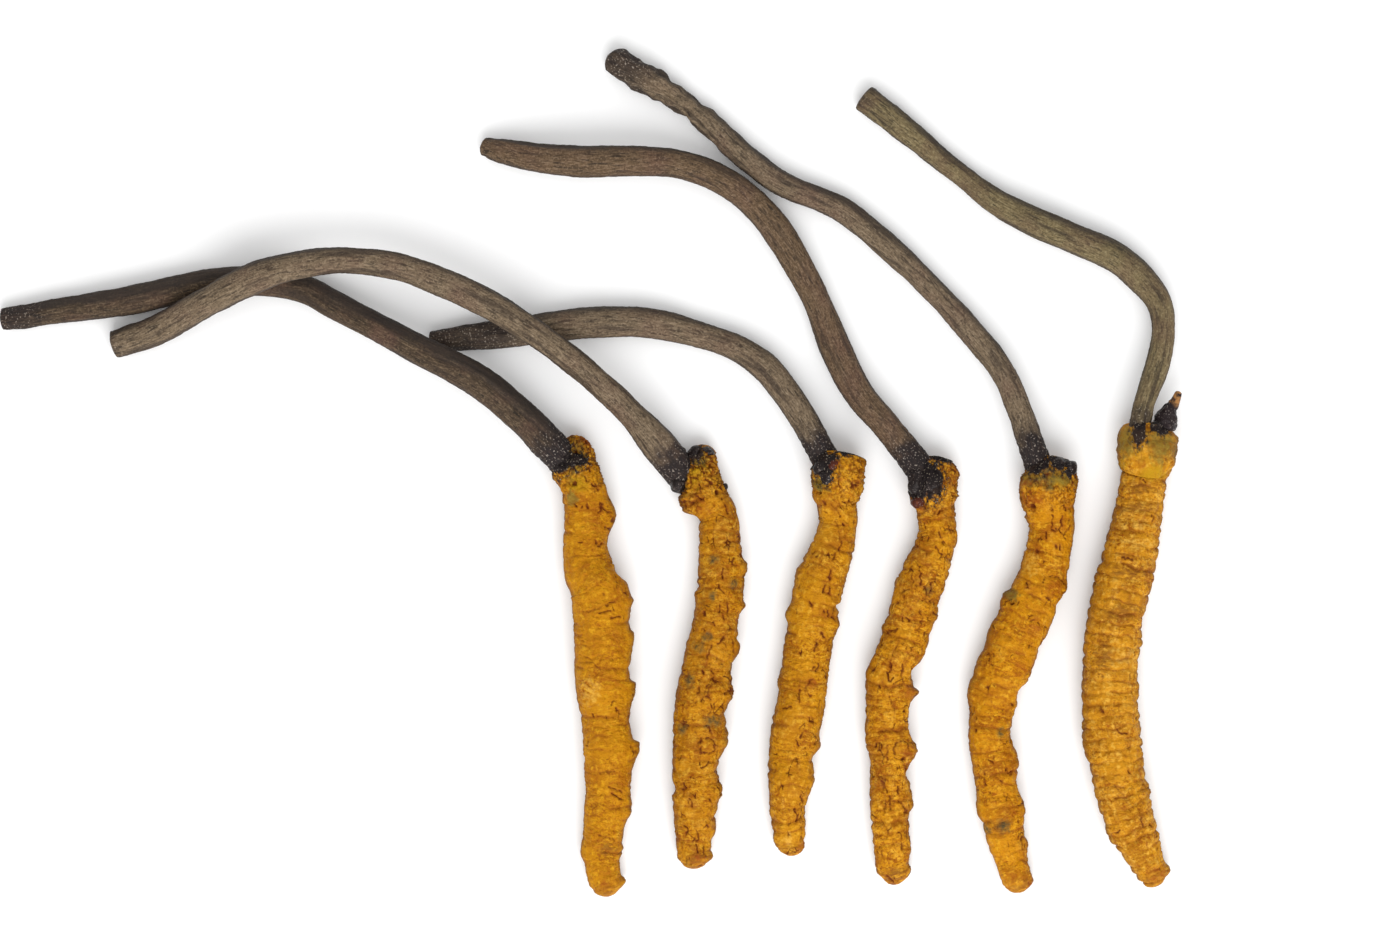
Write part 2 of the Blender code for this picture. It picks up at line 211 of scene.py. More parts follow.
@dataclass(frozen=True)
class Spine:
    """A smooth line through stations of x, y, z and half-width, rounded off at both ends."""

    stations: tuple
    first_cap: float
    last_cap: float
    span_steps: int = 10

    def curve(self) -> Array:
        """Work out closely spaced points on the smooth line through the stations.

        Returns:
            The points' x, y, z and half-width, one row each.
        """
        fixed = np.array(self.stations, float)
        ended = np.vstack([2 * fixed[0] - fixed[1], fixed, 2 * fixed[-1] - fixed[-2]])
        share = np.linspace(0, 1, self.span_steps, endpoint=False)[:, None]
        spans = []
        for before, start, end, after in zip(ended, ended[1:], ended[2:], ended[3:]):
            bend = 2 * before - 5 * start + 4 * end - after
            swing = 3 * start - before - 3 * end + after
            spans.append(start + (end - before) * share / 2 + bend * share**2 / 2 + swing * share**3 / 2)
        return np.vstack([*spans, fixed[-1:]])

    def rings(self, spacing: float, cap_steps: int) -> Rings:
        """Set rings along the spine, from one end's pole to the other's.

        Args:
            spacing: from one ring to the next, between the rounded ends.
            cap_steps: the rings from a pole to the full width.

        Returns:
            The rings.
        """
        curve = self.curve()
        reached = np.concatenate([[0.0], np.cumsum(np.linalg.norm(np.diff(curve[:, :3], axis=0), axis=1))])
        turns = np.linspace(0, math.pi / 2, cap_steps + 1)
        rounded = 1 - np.cos(turns)
        middle = reached[-1] - self.first_cap - self.last_cap
        between = self.first_cap + middle * np.linspace(0, 1, round(middle / spacing) + 1)[1:-1]
        far = reached[-1] - self.last_cap * rounded
        along = np.concatenate([self.first_cap * rounded, between, far[::-1]])
        fullness = np.concatenate([np.sin(turns), np.ones(len(between)), np.sin(turns)[::-1]])
        placed = np.column_stack([np.interp(along, reached, curve[:, axis]) for axis in range(4)])
        slope = np.gradient(curve[:, :3], reached, axis=0)
        ahead = np.column_stack([np.interp(along, reached, slope[:, axis]) for axis in range(3)])
        ahead /= np.linalg.norm(ahead, axis=1)[:, None]
        side = np.cross((0.0, 0.0, 1.0), ahead)
        side /= np.linalg.norm(side, axis=1)[:, None]
        return Rings(along, placed[:, :3], side, np.cross(ahead, side), placed[:, 3], fullness)


@dataclass
class Skinned:
    """The places of a drawn-out mesh's points on its rings, and what is worked out for them."""

    rings: Rings
    ring: Array
    angle: Array
    flatness: float
    relief: Array = field(init=False)
    masks: dict[str, Array] = field(default_factory=dict)

    def __post_init__(self) -> None:
        """Start with a smooth surface."""
        self.relief = np.zeros(len(self.ring))

    @property
    def along(self) -> Array:
        """Each point's distance along the spine."""
        return self.rings.along[self.ring]

    @property
    def straight(self) -> Array:
        """Each point's place if the spine were straight, so that patterns follow the body."""
        width = self.rings.half_width[self.ring]
        return np.column_stack([width * np.cos(self.angle), self.along, width * np.sin(self.angle)])

    @property
    def plan(self) -> Array:
        """Each point's x and y, seen from above, before any relief.

        Returns:
            One row for each point.
        """
        width = self.rings.half_width[self.ring] * self.rings.fullness[self.ring]
        across = self.rings.side[self.ring, :2] * (np.cos(self.angle) * width)[:, None]
        return self.rings.centre[self.ring, :2] + across

    @property
    def upper(self) -> Array:
        """From 0 under the body to 1 on its upper side."""
        return smooth_step(-0.25, 0.15, np.sin(self.angle))

    def points(self) -> Array:
        """Work out each point's place, with its relief.

        Returns:
            The points' x, y and z, one row each.
        """
        rings, ring = self.rings, self.ring
        width = rings.half_width[ring]
        across = np.cos(self.angle) * (width + self.relief) * rings.fullness[ring]
        above = np.sin(self.angle) * (width * self.flatness + self.relief) * rings.fullness[ring]
        return rings.centre[ring] + rings.side[ring] * across[:, None] + rings.up[ring] * above[:, None]


def made_from(name: str, bm: bmesh.types.BMesh) -> tuple[bpy.types.Object, Array]:
    """Turn a bmesh into an object in the scene, at the origin.

    Args:
        name: the new object's name.
        bm: the finished shape, which is freed.

    Returns:
        The object, and its points' x, y and z, one row each.
    """
    mesh = bpy.data.meshes.new(name)
    bm.to_mesh(mesh)
    bm.free()
    made = bpy.data.objects.new(name, mesh)
    bpy.context.collection.objects.link(made)
    points = np.empty(len(mesh.vertices) * 3)
    mesh.vertices.foreach_get("co", points)
    return made, points.reshape(-1, 3)


def move_points(piece: bpy.types.Object, points: Array) -> None:
    """Put a piece's points where they belong and shade it smooth.

    Args:
        piece: the object.
        points: its points' x, y and z in millimetres, one row each.
    """
    piece.data.vertices.foreach_set("co", (kept_inside(points) * MM).ravel())
    piece.data.shade_smooth()
    piece.data.update()


def drawn_out(
    name: str, rings: Rings, sides: int, flatness: float, shape: Callable[[Skinned], None]
) -> bpy.types.Object:
    """Draw a sphere's latitudes out into rings, which leaves one closed skin that faces outwards.

    Args:
        name: the new object's name.
        rings: the rings, the first at the sphere's lower pole.
        sides: points round each ring, closer together on top than underneath.
        flatness: height over width.
        shape: works out the relief and the masks.

    Returns:
        The object, in place.
    """
    bm = bmesh.new()
    last = len(rings.along) - 1
    bmesh.ops.create_uvsphere(bm, u_segments=sides, v_segments=last, radius=1.0)
    made, unit = made_from(name, bm)
    latitude = np.arctan2(np.hypot(unit[:, 0], unit[:, 1]), -unit[:, 2])
    from_top = np.arctan2(-unit[:, 0], unit[:, 1])
    angle = math.pi / 2 + from_top - 0.5 * np.sin(from_top)
    skinned = Skinned(rings, np.rint(latitude / math.pi * last).astype(int), angle, flatness)
    shape(skinned)
    for mask, values in skinned.masks.items():
        kind = "FLOAT" if values.ndim == 1 else "FLOAT_VECTOR"
        attribute = made.data.attributes.new(mask, kind, "POINT")
        attribute.data.foreach_set("value" if values.ndim == 1 else "vector", values.ravel())
    move_points(made, skinned.points())
    return made


def settle(piece: bpy.types.Object, node: str | None, slot: str) -> None:
    """Tie a finished piece to the part.

    Args:
        piece: the finished object.
        node: the CAD node that it stands for, or None where it only adds to one.
        slot: the record's material slot.
    """
    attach(piece, BODY)
    if node:
        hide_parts(node)
    log.info("%s: %d faces, %s", piece.name, len(piece.data.polygons), slot)


class Flaw(Enum):
    """What can mark one place on a larva's upper side."""

    RIM = "a round lump with a dark crack curving round it"
    SPOT = "a grey-green spot"
    RUST = "a red-brown patch"
    DUSKY = "a faint brown stain"
    PALE = "a pale, dusty patch"
    OLIVE = "an olive zone round a stem's foot"
    YELLOW = "a smooth patch of yellower skin"
    TISSUE = "the fungus's dark tissue, spread over the skin"
    PIT = "a hole with a dark floor"


@dataclass(frozen=True)
class Crack:
    """A dark crack in a larva's upper side, along a broken line seen from above: x and y in turn."""

    row: tuple[float, ...]

    WIDTH = 0.1
    REACH = 0.8
    FAR = 9.0

    @property
    def line(self) -> Array:
        """The points' x and y, one row each."""
        return np.reshape(self.row, (-1, 2))

    @property
    def depth(self) -> float:
        """From 0.35 to 1: a long crack has closed up again in places, and a short one is open."""
        length = np.linalg.norm(np.diff(self.line, axis=0), axis=1).sum()
        return float(np.clip(1.1 / length, 0.35, 1.0))

    def away(self, plan: Array) -> Array:
        """Say how far places are from the crack.

        Args:
            plan: the places' x and y.

        Returns:
            A distance in millimetres for each place, and FAR where it is too far to matter.
        """
        away = np.full(len(plan), self.FAR)
        low, high = self.line.min(axis=0) - self.REACH, self.line.max(axis=0) + self.REACH
        near = np.all((plan > low) & (plan < high), axis=1)
        for start, end in zip(self.line, self.line[1:]):
            here = plan[near] - start
            line = end - start
            share = np.clip(here @ line / (line @ line), 0, 1)
            away[near] = np.minimum(away[near], np.linalg.norm(here - share[:, None] * line, axis=1))
        return away


@dataclass
class Paint:
    """Colours laid over one another in one material."""

    tree: bpy.types.NodeTree
    colour: bpy.types.NodeSocket | tuple

    def lay(self, share: bpy.types.NodeSocket, colour: bpy.types.NodeSocket | tuple) -> None:
        """Mix a colour over what is there, by a share from 0 to 1."""
        mix = add(self.tree, "Mix", {0: share, 6: self.colour, 7: colour}, data_type="RGBA")
        self.colour = mix.outputs[2]

    def over(
        self,
        value: bpy.types.NodeSocket,
        low: float,
        high: float,
        colour: bpy.types.NodeSocket | tuple,
        most: float = 1.0,
        within: bpy.types.NodeSocket | None = None,
    ) -> None:
        """Lay a colour where a pattern is strong.

        Args:
            value: the pattern's output.
            low: its value where the colour starts.
            high: its value where the colour is complete.
            colour: the colour or output to lay.
            most: how far the colour covers there.
            within: an output from 0 to 1 that fades the pattern out in places, or None.
        """
        limits = {"From Min": low, "From Max": high, "To Max": most}
        share = add(self.tree, "MapRange", {"Value": value, **limits}).outputs["Result"]
        if within:
            share = add(self.tree, "Math", {0: share, 1: within}, operation="MULTIPLY").outputs[0]
        self.lay(share, colour)

    def where(
        self,
        mask: str,
        most: float,
        colour: bpy.types.NodeSocket | tuple,
        broken_by: bpy.types.NodeSocket | None = None,
    ) -> None:
        """Lay a colour where a mask of the mesh says.

        Args:
            mask: the attribute's name.
            most: how far the colour covers where the mask is full.
            colour: the colour or output to lay.
            broken_by: a noise output that breaks the patch up, or None.
        """
        value = add(self.tree, "Attribute", attribute_name=mask).outputs["Fac"]
        if broken_by:
            uneven = add(self.tree, "MapRange", {"Value": broken_by, "From Min": 0.38, "From Max": 0.58})
            broken_by = uneven.outputs["Result"]
        self.over(value, 0.0, 1.0, colour, most, broken_by)


@dataclass(frozen=True)
class DriedSkin:
    """Dry insect skin filled with fungus, shrunk onto it and cracked as it dried.

    It looks like old parchment over wax: golden, satin, with dust in its folds and dark cracks.
    Painted shade darkens its grooves and its sides.
    """

    name: str
    gold: str
    deep: str
    pale: str
    calm: float = 0.5
    roughness: float = 0.6

    @cache
    def material(self) -> bpy.types.Material:
        """Make the material.

        Returns:
            The material, which reads the masks of the mesh that it is on.
        """
        made = bpy.data.materials.new(self.name)
        made.use_nodes = True
        tree = made.node_tree
        shader = tree.nodes["Principled BSDF"]
        place = add(tree, "TexCoord").outputs["Object"]
        skin = add(tree, "Attribute", attribute_name="skin").outputs["Vector"]

        # Mottling about 2.2 mm across, dust 0.5 mm and grit 0.2 mm, grains of 0.3 mm on the head, and
        # wrinkles across the body 0.3 mm from one to the next, which "skin" has drawn out to 1 mm long.
        # The fine texture fades out over smooth areas about 3 mm across.
        broad, dust, grit, grain, busy = (
            add(tree, "TexNoise", {"Vector": place, "Scale": 1 / size, "Detail": detail}).outputs["Fac"]
            for size, detail in ((0.0022, 3.0), (0.0005, 4.0), (0.0002, 3.0), (0.0003, 2.0), (0.0032, 1.0))
        )
        fold = add(tree, "TexNoise", {"Vector": skin, "Scale": 1 / 0.3, "Detail": 4.0, "Roughness": 0.6})
        fold = fold.outputs["Fac"]
        limits = {"From Min": self.calm - 0.1, "From Max": self.calm + 0.14, "To Min": 0.25}
        busy = add(tree, "MapRange", {"Value": busy, **limits}).outputs["Result"]

        paint = Paint(tree, linear(self.gold))
        paint.over(broad, 0.45, 0.66, linear(self.deep), 0.8)
        paint.over(fold, 0.53, 0.64, linear(self.deep), 0.85, busy)
        paint.over(fold, 0.46, 0.34, linear(self.pale), 0.75, busy)
        paint.over(dust, 0.55, 0.66, linear(self.pale), 0.7)
        paint.over(dust, 0.43, 0.33, linear("8A4606"), 0.8, busy)
        paint.over(grit, 0.54, 0.64, linear("743804"), 0.65, busy)
        crown = add(tree, "Attribute", attribute_name="crown").outputs["Fac"]
        paint.over(grain, 0.56, 0.64, linear("D2A23A"), 0.7, crown)
        paint.over(grain, 0.47, 0.4, linear("5A2C0A"), 0.9, crown)
        paint.where("hair", 0.6, linear("8A3A0A"), dust)
        paint.where("pale", 0.4, linear("DDAE4E"), dust)
        paint.where("dusky", 0.75, linear("7E5018"), fold)
        # Painted shade in the ring grooves, plate joints and segment creases.
        paint.where("painted_hollow_shade", 0.55, linear("74390A"))
        paint.where("yellow", 0.8, linear("AC8410"), broad)
        paint.where("olive", 0.7, linear("65501E"))
        paint.where("olive", 0.45, linear("8A7830"), dust)
        paint.where("rust", 0.65, linear("863A0C"), dust)
        paint.where("spot", 0.45, linear("62562A"))
        paint.where("spot", 0.85, linear("3A382A"), dust)
        # Painted shade along the body's sides and underside, where the surface turns away from above.
        paint.where("rim", 0.6, linear("54340E"))
        paint.where("crack", 0.92, linear("561E08"))
        crust = Paint(tree, linear("201A1A"))
        crust.over(broad, 0.5, 0.6, linear("33261F"), 0.7)
        crust.over(grit, 0.6, 0.7, linear("9A8E7C"), 0.75)
        paint.where("tissue", 1.0, crust.colour)
        tree.links.new(paint.colour, shader.inputs["Base Color"])

        limits = {"To Min": self.roughness - 0.14, "To Max": self.roughness + 0.14}
        rough = add(tree, "MapRange", {"Value": dust, **limits})
        tree.links.new(rough.outputs["Result"], shader.inputs["Roughness"])
        shader.inputs["IOR"].default_value = 1.48
        shader.inputs["Specular IOR Level"].default_value = 0.08

        below = {}
        for height, depth in ((fold, 0.00018), (dust, 0.00016), (grit, 0.00007)):
            bump = add(tree, "Bump", {"Height": height, "Strength": 1.0, "Distance": depth, **below})
            below = {"Normal": bump.outputs["Normal"]}
        tree.links.new(bump.outputs["Normal"], shader.inputs["Normal"])
        return made


@dataclass(frozen=True)
class StemFibre:
    """The fungus's dried stem: tough, woody flesh with fibres along it and a darker, pitted foot."""

    name: str
    bark: str
    groove: str
    fleck: str
    foot: str = "1F1919"

    @cache
    def material(self) -> bpy.types.Material:
        """Make the material.

        Returns:
            The material, which follows the mesh's "fibre" places and its masks.
        """
        made = bpy.data.materials.new(self.name)
        made.use_nodes = True
        tree = made.node_tree
        shader = tree.nodes["Principled BSDF"]
        fibre = add(tree, "Attribute", attribute_name="fibre").outputs["Vector"]
        place = add(tree, "TexCoord").outputs["Object"]

        # Fibres 0.25 mm wide and about six times as long, which "fibre" has already drawn out, finer
        # ones of 0.12 mm, pores of 0.2 mm, and broad changes of tone over 4 mm.
        strands, threads, grit, broad = (
            add(tree, "TexNoise", {"Vector": where, "Scale": 1 / size, "Detail": detail}).outputs["Fac"]
            for where, size, detail in (
                (fibre, 0.25, 3.0), (fibre, 0.12, 3.0), (place, 0.0002, 3.0), (place, 0.004, 2.0),
            )
        )

        paint = Paint(tree, linear(self.groove))
        paint.over(strands, 0.32, 0.48, linear(self.bark))
        paint.over(threads, 0.52, 0.68, linear(self.fleck), 0.6)
        paint.over(threads, 0.44, 0.32, linear(self.groove), 0.65)
        paint.over(broad, 0.45, 0.7, linear("5E4238"), 0.4)
        paint.over(grit, 0.56, 0.68, linear(self.fleck), 0.5)
        paint.over(grit, 0.44, 0.34, linear(self.groove), 0.6)
        # Painted shade in the furrows between the fibres.
        paint.where("painted_hollow_shade", 0.6, linear("2A211C"))
        # Painted shade along the stem's sides and underside, where the surface turns away from above.
        paint.where("rim", 0.7, linear("2C2420"))
        # Painted shade on the stem's side that faces away from the key light.
        paint.where("painted_shade", 0.75, linear("2B2522"))
        foot = Paint(tree, linear(self.foot))
        foot.over(threads, 0.48, 0.66, linear("352924"), 0.8)
        foot.over(grit, 0.6, 0.67, linear("A89C90"), 0.6)
        paint.where("foot", 1.0, foot.colour)
        tree.links.new(paint.colour, shader.inputs["Base Color"])
        shader.inputs["Roughness"].default_value = 0.75
        shader.inputs["IOR"].default_value = 1.5
        shader.inputs["Specular IOR Level"].default_value = 0.2

        below = {}
        layers = ((strands, 0.7, 0.00012), (threads, 0.6, 0.00006), (grit, 0.8, 0.00007))
        for height, strength, depth in layers:
            bump = add(tree, "Bump", {"Height": height, "Strength": strength, "Distance": depth, **below})
            below = {"Normal": bump.outputs["Normal"]}
        tree.links.new(bump.outputs["Normal"], shader.inputs["Normal"])
        return made


@dataclass(frozen=True)
class DarkCrust:
    """The fungus's hardened tissue round a head: black, knobbly and half glossy, like dried sap."""

    name: str
    dark: str
    light: str
    roughness: float

    @cache
    def material(self) -> bpy.types.Material:
        """Make the material.

        Returns:
            The material, which bares wood where the mesh's "peg" mask says.
        """
        made = bpy.data.materials.new(self.name)
        made.use_nodes = True
        tree = made.node_tree
        shader = tree.nodes["Principled BSDF"]
        place = add(tree, "TexCoord").outputs["Object"]
        # Knobs about 0.45 mm across, and pale grains of 0.15 mm.
        grit = add(tree, "TexNoise", {"Vector": place, "Scale": 1 / 0.00045, "Detail": 4.0}).outputs["Fac"]
        fine = add(tree, "TexNoise", {"Vector": place, "Scale": 1 / 0.00016, "Detail": 2.0}).outputs["Fac"]
        paint = Paint(tree, linear(self.dark))
        paint.over(grit, 0.54, 0.72, linear(self.light), 0.6)
        paint.over(fine, 0.62, 0.7, linear("9A8E86"), 0.7)
        paint.where("peg", 1.0, linear("9A6C3C"), grit)
        tree.links.new(paint.colour, shader.inputs["Base Color"])
        shader.inputs["Roughness"].default_value = self.roughness
        shader.inputs["IOR"].default_value = 1.5
        shader.inputs["Specular IOR Level"].default_value = 0.14
        lower = add(tree, "Bump", {"Height": grit, "Strength": 0.9, "Distance": 0.00016})
        upper = add(tree, "Bump", {"Height": fine, "Strength": 0.8, "Distance": 0.00006})
        tree.links.new(lower.outputs["Normal"], upper.inputs["Normal"])
        tree.links.new(upper.outputs["Normal"], shader.inputs["Normal"])
        return made


@dataclass(frozen=True)
class FloorCard:
    """Smooth white card, which the bundle lies on: matt, with a faint unevenness and no grain."""

    name: str = "white_card"

    @cache
    def material(self) -> bpy.types.Material:
        """Make the material.

        Returns:
            The material.
        """
        made = bpy.data.materials.new(self.name)
        made.use_nodes = True
        tree = made.node_tree
        shader = tree.nodes["Principled BSDF"]
        place = add(tree, "TexCoord").outputs["Object"]
        cloudy = add(tree, "TexNoise", {"Vector": place, "Scale": 1 / 0.2})
        paint = Paint(tree, linear("FAFAFA"))
        paint.over(cloudy.outputs["Fac"], 0.3, 0.7, linear("FDFDFD"))
        tree.links.new(paint.colour, shader.inputs["Base Color"])
        shader.inputs["Roughness"].default_value = 0.9
        shader.inputs["Specular IOR Level"].default_value = 0.1
        return made


@dataclass(frozen=True)
class Larva:
    """One ringed body, from its head to its tail, as seen from above.

    A station is x, y and half-width. A ledge on the right or left side is y, reach, and its length
    towards the head and towards the tail, and a negative reach makes it a notch. A crack is its points'
    x and y in turn. A flaw is x, y, half-width and half-length. The caps are how long the rounded ends
    are, and crack_share and grit say how much of the skin is cracked and how rough it is.
    """

    name: str
    skin: DriedSkin
    seed: int
    head_cap: float
    tail_cap: float
    ring_depth: float
    plate_depth: float
    crack_share: float
    grit: float
    stations: tuple
    right: tuple
    left: tuple
    cracks: tuple
    flaws: dict[Flaw, tuple]

    FLATNESS = 0.92
    SUNK = 0.87
    SIDES = 114
    RING_SPACING = 0.09
    CAP_STEPS = 14
    SEGMENT = 4.6
    RINGS_A_SEGMENT = 4
    PLATE = 1.1
    LEDGE_ARC = 1.3
    CRACK_DEEP = 0.13
    PIT_DEEP = 0.3
    RIM_HIGH = 0.2

    def build(self) -> None:
        """Make the body, dress it and tie it to the part."""
        lying = tuple((x, y, width * self.FLATNESS * self.SUNK, width) for x, y, width in self.stations)
        rings = Spine(lying, self.head_cap, self.tail_cap).rings(self.RING_SPACING, self.CAP_STEPS)
        body = drawn_out("dressed_" + self.name, rings, self.SIDES, self.FLATNESS, self.shape)
        body.data.materials.append(self.skin.material())
        settle(body, self.name, "dried_skin")

    def shape(self, skinned: Skinned) -> None:
        """Work out the skin's rings, plates, cracks, ledges and flaws.

        Args:
            skinned: the body's points, which this gives their relief and masks.
        """
        grain = Grain(self.seed)
        straight = skinned.straight
        wander = np.column_stack([grain.noise(straight + shift, 1.6) for shift in (0.0, 31.0, 67.0)])
        coarse = grain.noise(straight, 0.45)
        fine = grain.noise(straight + 3.0, 0.24)

        # Rings across the body, with a row of plates in each and a deeper crease at each segment.
        pitch = self.SEGMENT / self.RINGS_A_SEGMENT
        phase = (skinned.along - self.head_cap) / pitch + 0.28 * wander[:, 1] + 0.06 * coarse
        groove = np.exp(-((np.abs(phase - np.rint(phase)) * pitch / 0.12) ** 2))
        broken = smooth_step(-0.25, 0.35, grain.noise(straight + 5.0, 1.7))
        from_crease = phase / self.RINGS_A_SEGMENT
        from_crease = np.abs(from_crease - np.rint(from_crease)) * self.SEGMENT
        crease = np.exp(-((from_crease / 0.3) ** 2)) * broken
        bulge = np.abs(np.sin(np.pi * phase)) ** 0.8
        skinned.relief += self.ring_depth * (bulge - 1) - 0.8 * self.ring_depth * groove * broken
        skinned.relief -= 0.1 * crease

        row = np.floor(phase) * 5 * self.PLATE
        seats = straight + 0.3 * wander
        seats[:, 1] = row
        _, gap, tone = grain.cells(seats, self.PLATE)
        joint = smooth_step(-0.1, 0.5, wander[:, 0] + 0.6 * coarse + 0.2)
        joint *= 1 - smooth_step(0.0, 0.14, gap)
        plate = smooth_step(0.0, 0.5, gap) * bulge
        skinned.relief += self.plate_depth * (plate - 0.6 + 0.5 * (tone - 0.5))
        wrinkle = grain.noise(straight * (0.28, 1.0, 0.28) + 9.0, 0.34)
        busy = 0.4 + 0.8 * smooth_step(-0.3, 0.3, grain.noise(straight + 71.0, 3.0))
        skinned.relief += 0.08 * grain.noise(straight + 11.0, 2.2) + 0.035 * busy * wrinkle
        skinned.relief += busy * (0.05 * coarse + 0.04 * fine)

        # The head and neck are rough and gritty, with specks in the gaps between the grains.
        crown = 1 - smooth_step(3.0, 7.0, skinned.along + 1.5 * wander[:, 2])
        _, seam, _ = grain.cells(straight + 0.12 * fine[:, None], 0.5)
        speck = smooth_step(-0.2, 0.4, grain.noise(straight + 77.0, 0.6))
        speck *= 1 - smooth_step(0.05, 0.2, seam)
        skinned.relief += crown * self.grit * (0.1 * coarse + 0.1 * fine - 0.06 * speck)

        # Short cracks of its own, more of them down the right side, where the legs were.
        legward = 0.3 * np.clip(np.cos(skinned.angle), 0, 1)
        _, rift, _ = grain.cells(straight * (1.25, 0.8, 1.25) + wander * 0.4, 1.0)
        where = smooth_step(0.2, 0.5, grain.noise(straight + 17.0, 1.1) + self.crack_share + legward)
        crack = (1 - smooth_step(0.03, 0.1, rift + 0.04 * fine)) * where
        crack = np.maximum(crack, speck * (0.1 + 0.8 * crown) * self.grit)
        skinned.masks["hair"] = np.maximum(joint * 0.8, groove) * smooth_step(0.3, 0.9, fine + 0.8 * broken)
        # Painted shade in the ring grooves, plate joints and segment creases.
        skinned.masks["painted_hollow_shade"] = 0.5 * groove * broken + 6 * self.plate_depth * joint + 0.4 * crease
        self.ledge(skinned)
        self.flaw(skinned, grain, crack)
        skinned.masks["crown"] = crown * self.grit
        # Painted shade: darker where the skin turns down at the sides and underneath.
        skinned.masks["rim"] = smooth_step(0.5, 0.05, np.sin(skinned.angle))
        skinned.masks["skin"] = (straight + 0.25 * wander) * (0.3, 1.0, 0.3)
        skinned.masks["pale"] = np.maximum(skinned.masks["pale"], (tone - 0.45) * self.plate_depth * 9)

    def ledge(self, skinned: Skinned) -> None:
        """Lift the ledges on both sides, steep or long towards each end, and sink the notches.

        Args:
            skinned: the body's points, which this gives more relief.
        """
        for side, ledges in ((0.0, self.right), (math.pi, self.left)):
            turn = side - skinned.angle
            arc = np.arctan2(np.sin(turn), np.cos(turn)) * skinned.rings.half_width[skinned.ring]
            for y, reach, headward, tailward in ledges:
                off = skinned.plan[:, 1] - y
                share = np.abs(off) / np.where(off > 0, headward, tailward)
                skinned.relief += reach * np.exp(-(share**2.4) - (arc / self.LEDGE_ARC) ** 2)

    def flaw(self, skinned: Skinned, grain: Grain, crack: Array) -> None:
        """Lay the cracks and the flaws on the skin.

        Args:
            skinned: the body's points, which this gives their relief and masks.
            grain: the body's own irregularity.
            crack: how deeply each point is cracked already.
        """
        straight = skinned.straight
        upper = skinned.upper
        ragged = grain.noise(straight + 41.0, 0.5)
        torn = grain.noise(straight + 43.0, 0.25)
        web = grain.noise(straight + 47.0, 0.8)
        _, gap, _ = grain.cells(straight + 0.15 * torn[:, None], (0.6, 0.5, 0.6))
        vein = 1 - smooth_step(0.04, 0.2, gap)
        crooked = 0.15 * np.column_stack([ragged, grain.noise(straight + 53.0, 0.5)])
        plan = skinned.plan + crooked + 0.05 * np.column_stack([torn, grain.noise(straight + 57.0, 0.2)])
        open_ = smooth_step(-0.45, 0.0, grain.noise(straight + 59.0, 0.4))
        kinds = ("spot", "rust", "dusky", "pale", "olive", "yellow", "tissue")
        masks = {name: np.zeros(len(plan)) for name in kinds}

        # A crack has a raised lip, and the skin beside it is stained.
        for line in map(Crack, self.cracks):
            away = line.away(plan) / (line.WIDTH * (1 + 0.6 * torn))
            cut = (1 - smooth_step(0.3, 1.4, away)) * upper * np.maximum(open_, 1.3 * line.depth - 0.5)
            crack = np.maximum(crack, cut * line.depth)
            skinned.relief += 0.04 * line.depth * np.exp(-((away - 2.4) ** 2)) * upper
            masks["rust"] = np.maximum(masks["rust"], 0.7 * line.depth * np.exp(-((away / 3) ** 2)) * upper)

        # The other flaws are measured from their middles, so that 1 is at the edge.
        for kind, (x, y, wide, tall) in ((kind, row) for kind, rows in self.flaws.items() for row in rows):
            away = np.linalg.norm((plan - (x, y)) / (wide, tall), axis=1)
            soft = np.exp(-(away**2)) * upper
            if kind is Flaw.RIM:
                ring = np.exp(-(((away - 1) * wide / 0.08) ** 2))
                crack = np.maximum(crack, ring * smooth_step(-0.15, 0.3, torn + 0.6 * web) * upper)
                skinned.relief += self.RIM_HIGH * np.exp(-(away**4)) * upper
            elif kind is Flaw.PIT:
                skinned.relief -= self.PIT_DEEP * soft
                crack = np.maximum(crack, smooth_step(0.35, 0.7, soft))
            elif kind is Flaw.TISSUE:
                spread = smooth_step(-0.05, 0.12, 1 - away + 0.3 * ragged + 0.25 * web)
                spread = np.maximum(spread, vein * smooth_step(0.0, 0.45, 1.75 - away + 0.3 * web))
                masks["tissue"] = np.maximum(masks["tissue"], spread * upper)
            else:
                firm = 0.0 if kind is Flaw.SPOT else 0.5
                spread = (1 - smooth_step(firm, 1.5 - 0.4 * firm, away + 0.3 * ragged + 0.2 * torn)) * upper
                masks[kind.name.lower()] = np.maximum(masks[kind.name.lower()], spread)
        skinned.relief -= self.CRACK_DEEP * crack
        skinned.relief += masks["tissue"] * (0.1 + 0.1 * ragged + 0.06 * torn)
        length = skinned.along.max()
        tail = smooth_step(length - 2.4, length - 0.8, skinned.along + 0.5 * ragged)
        skinned.relief += tail * (0.06 * ragged + 0.06 * torn)
        masks["dusky"] = np.maximum(masks["dusky"], 0.8 * tail)
        skinned.masks.update(masks, crack=crack)


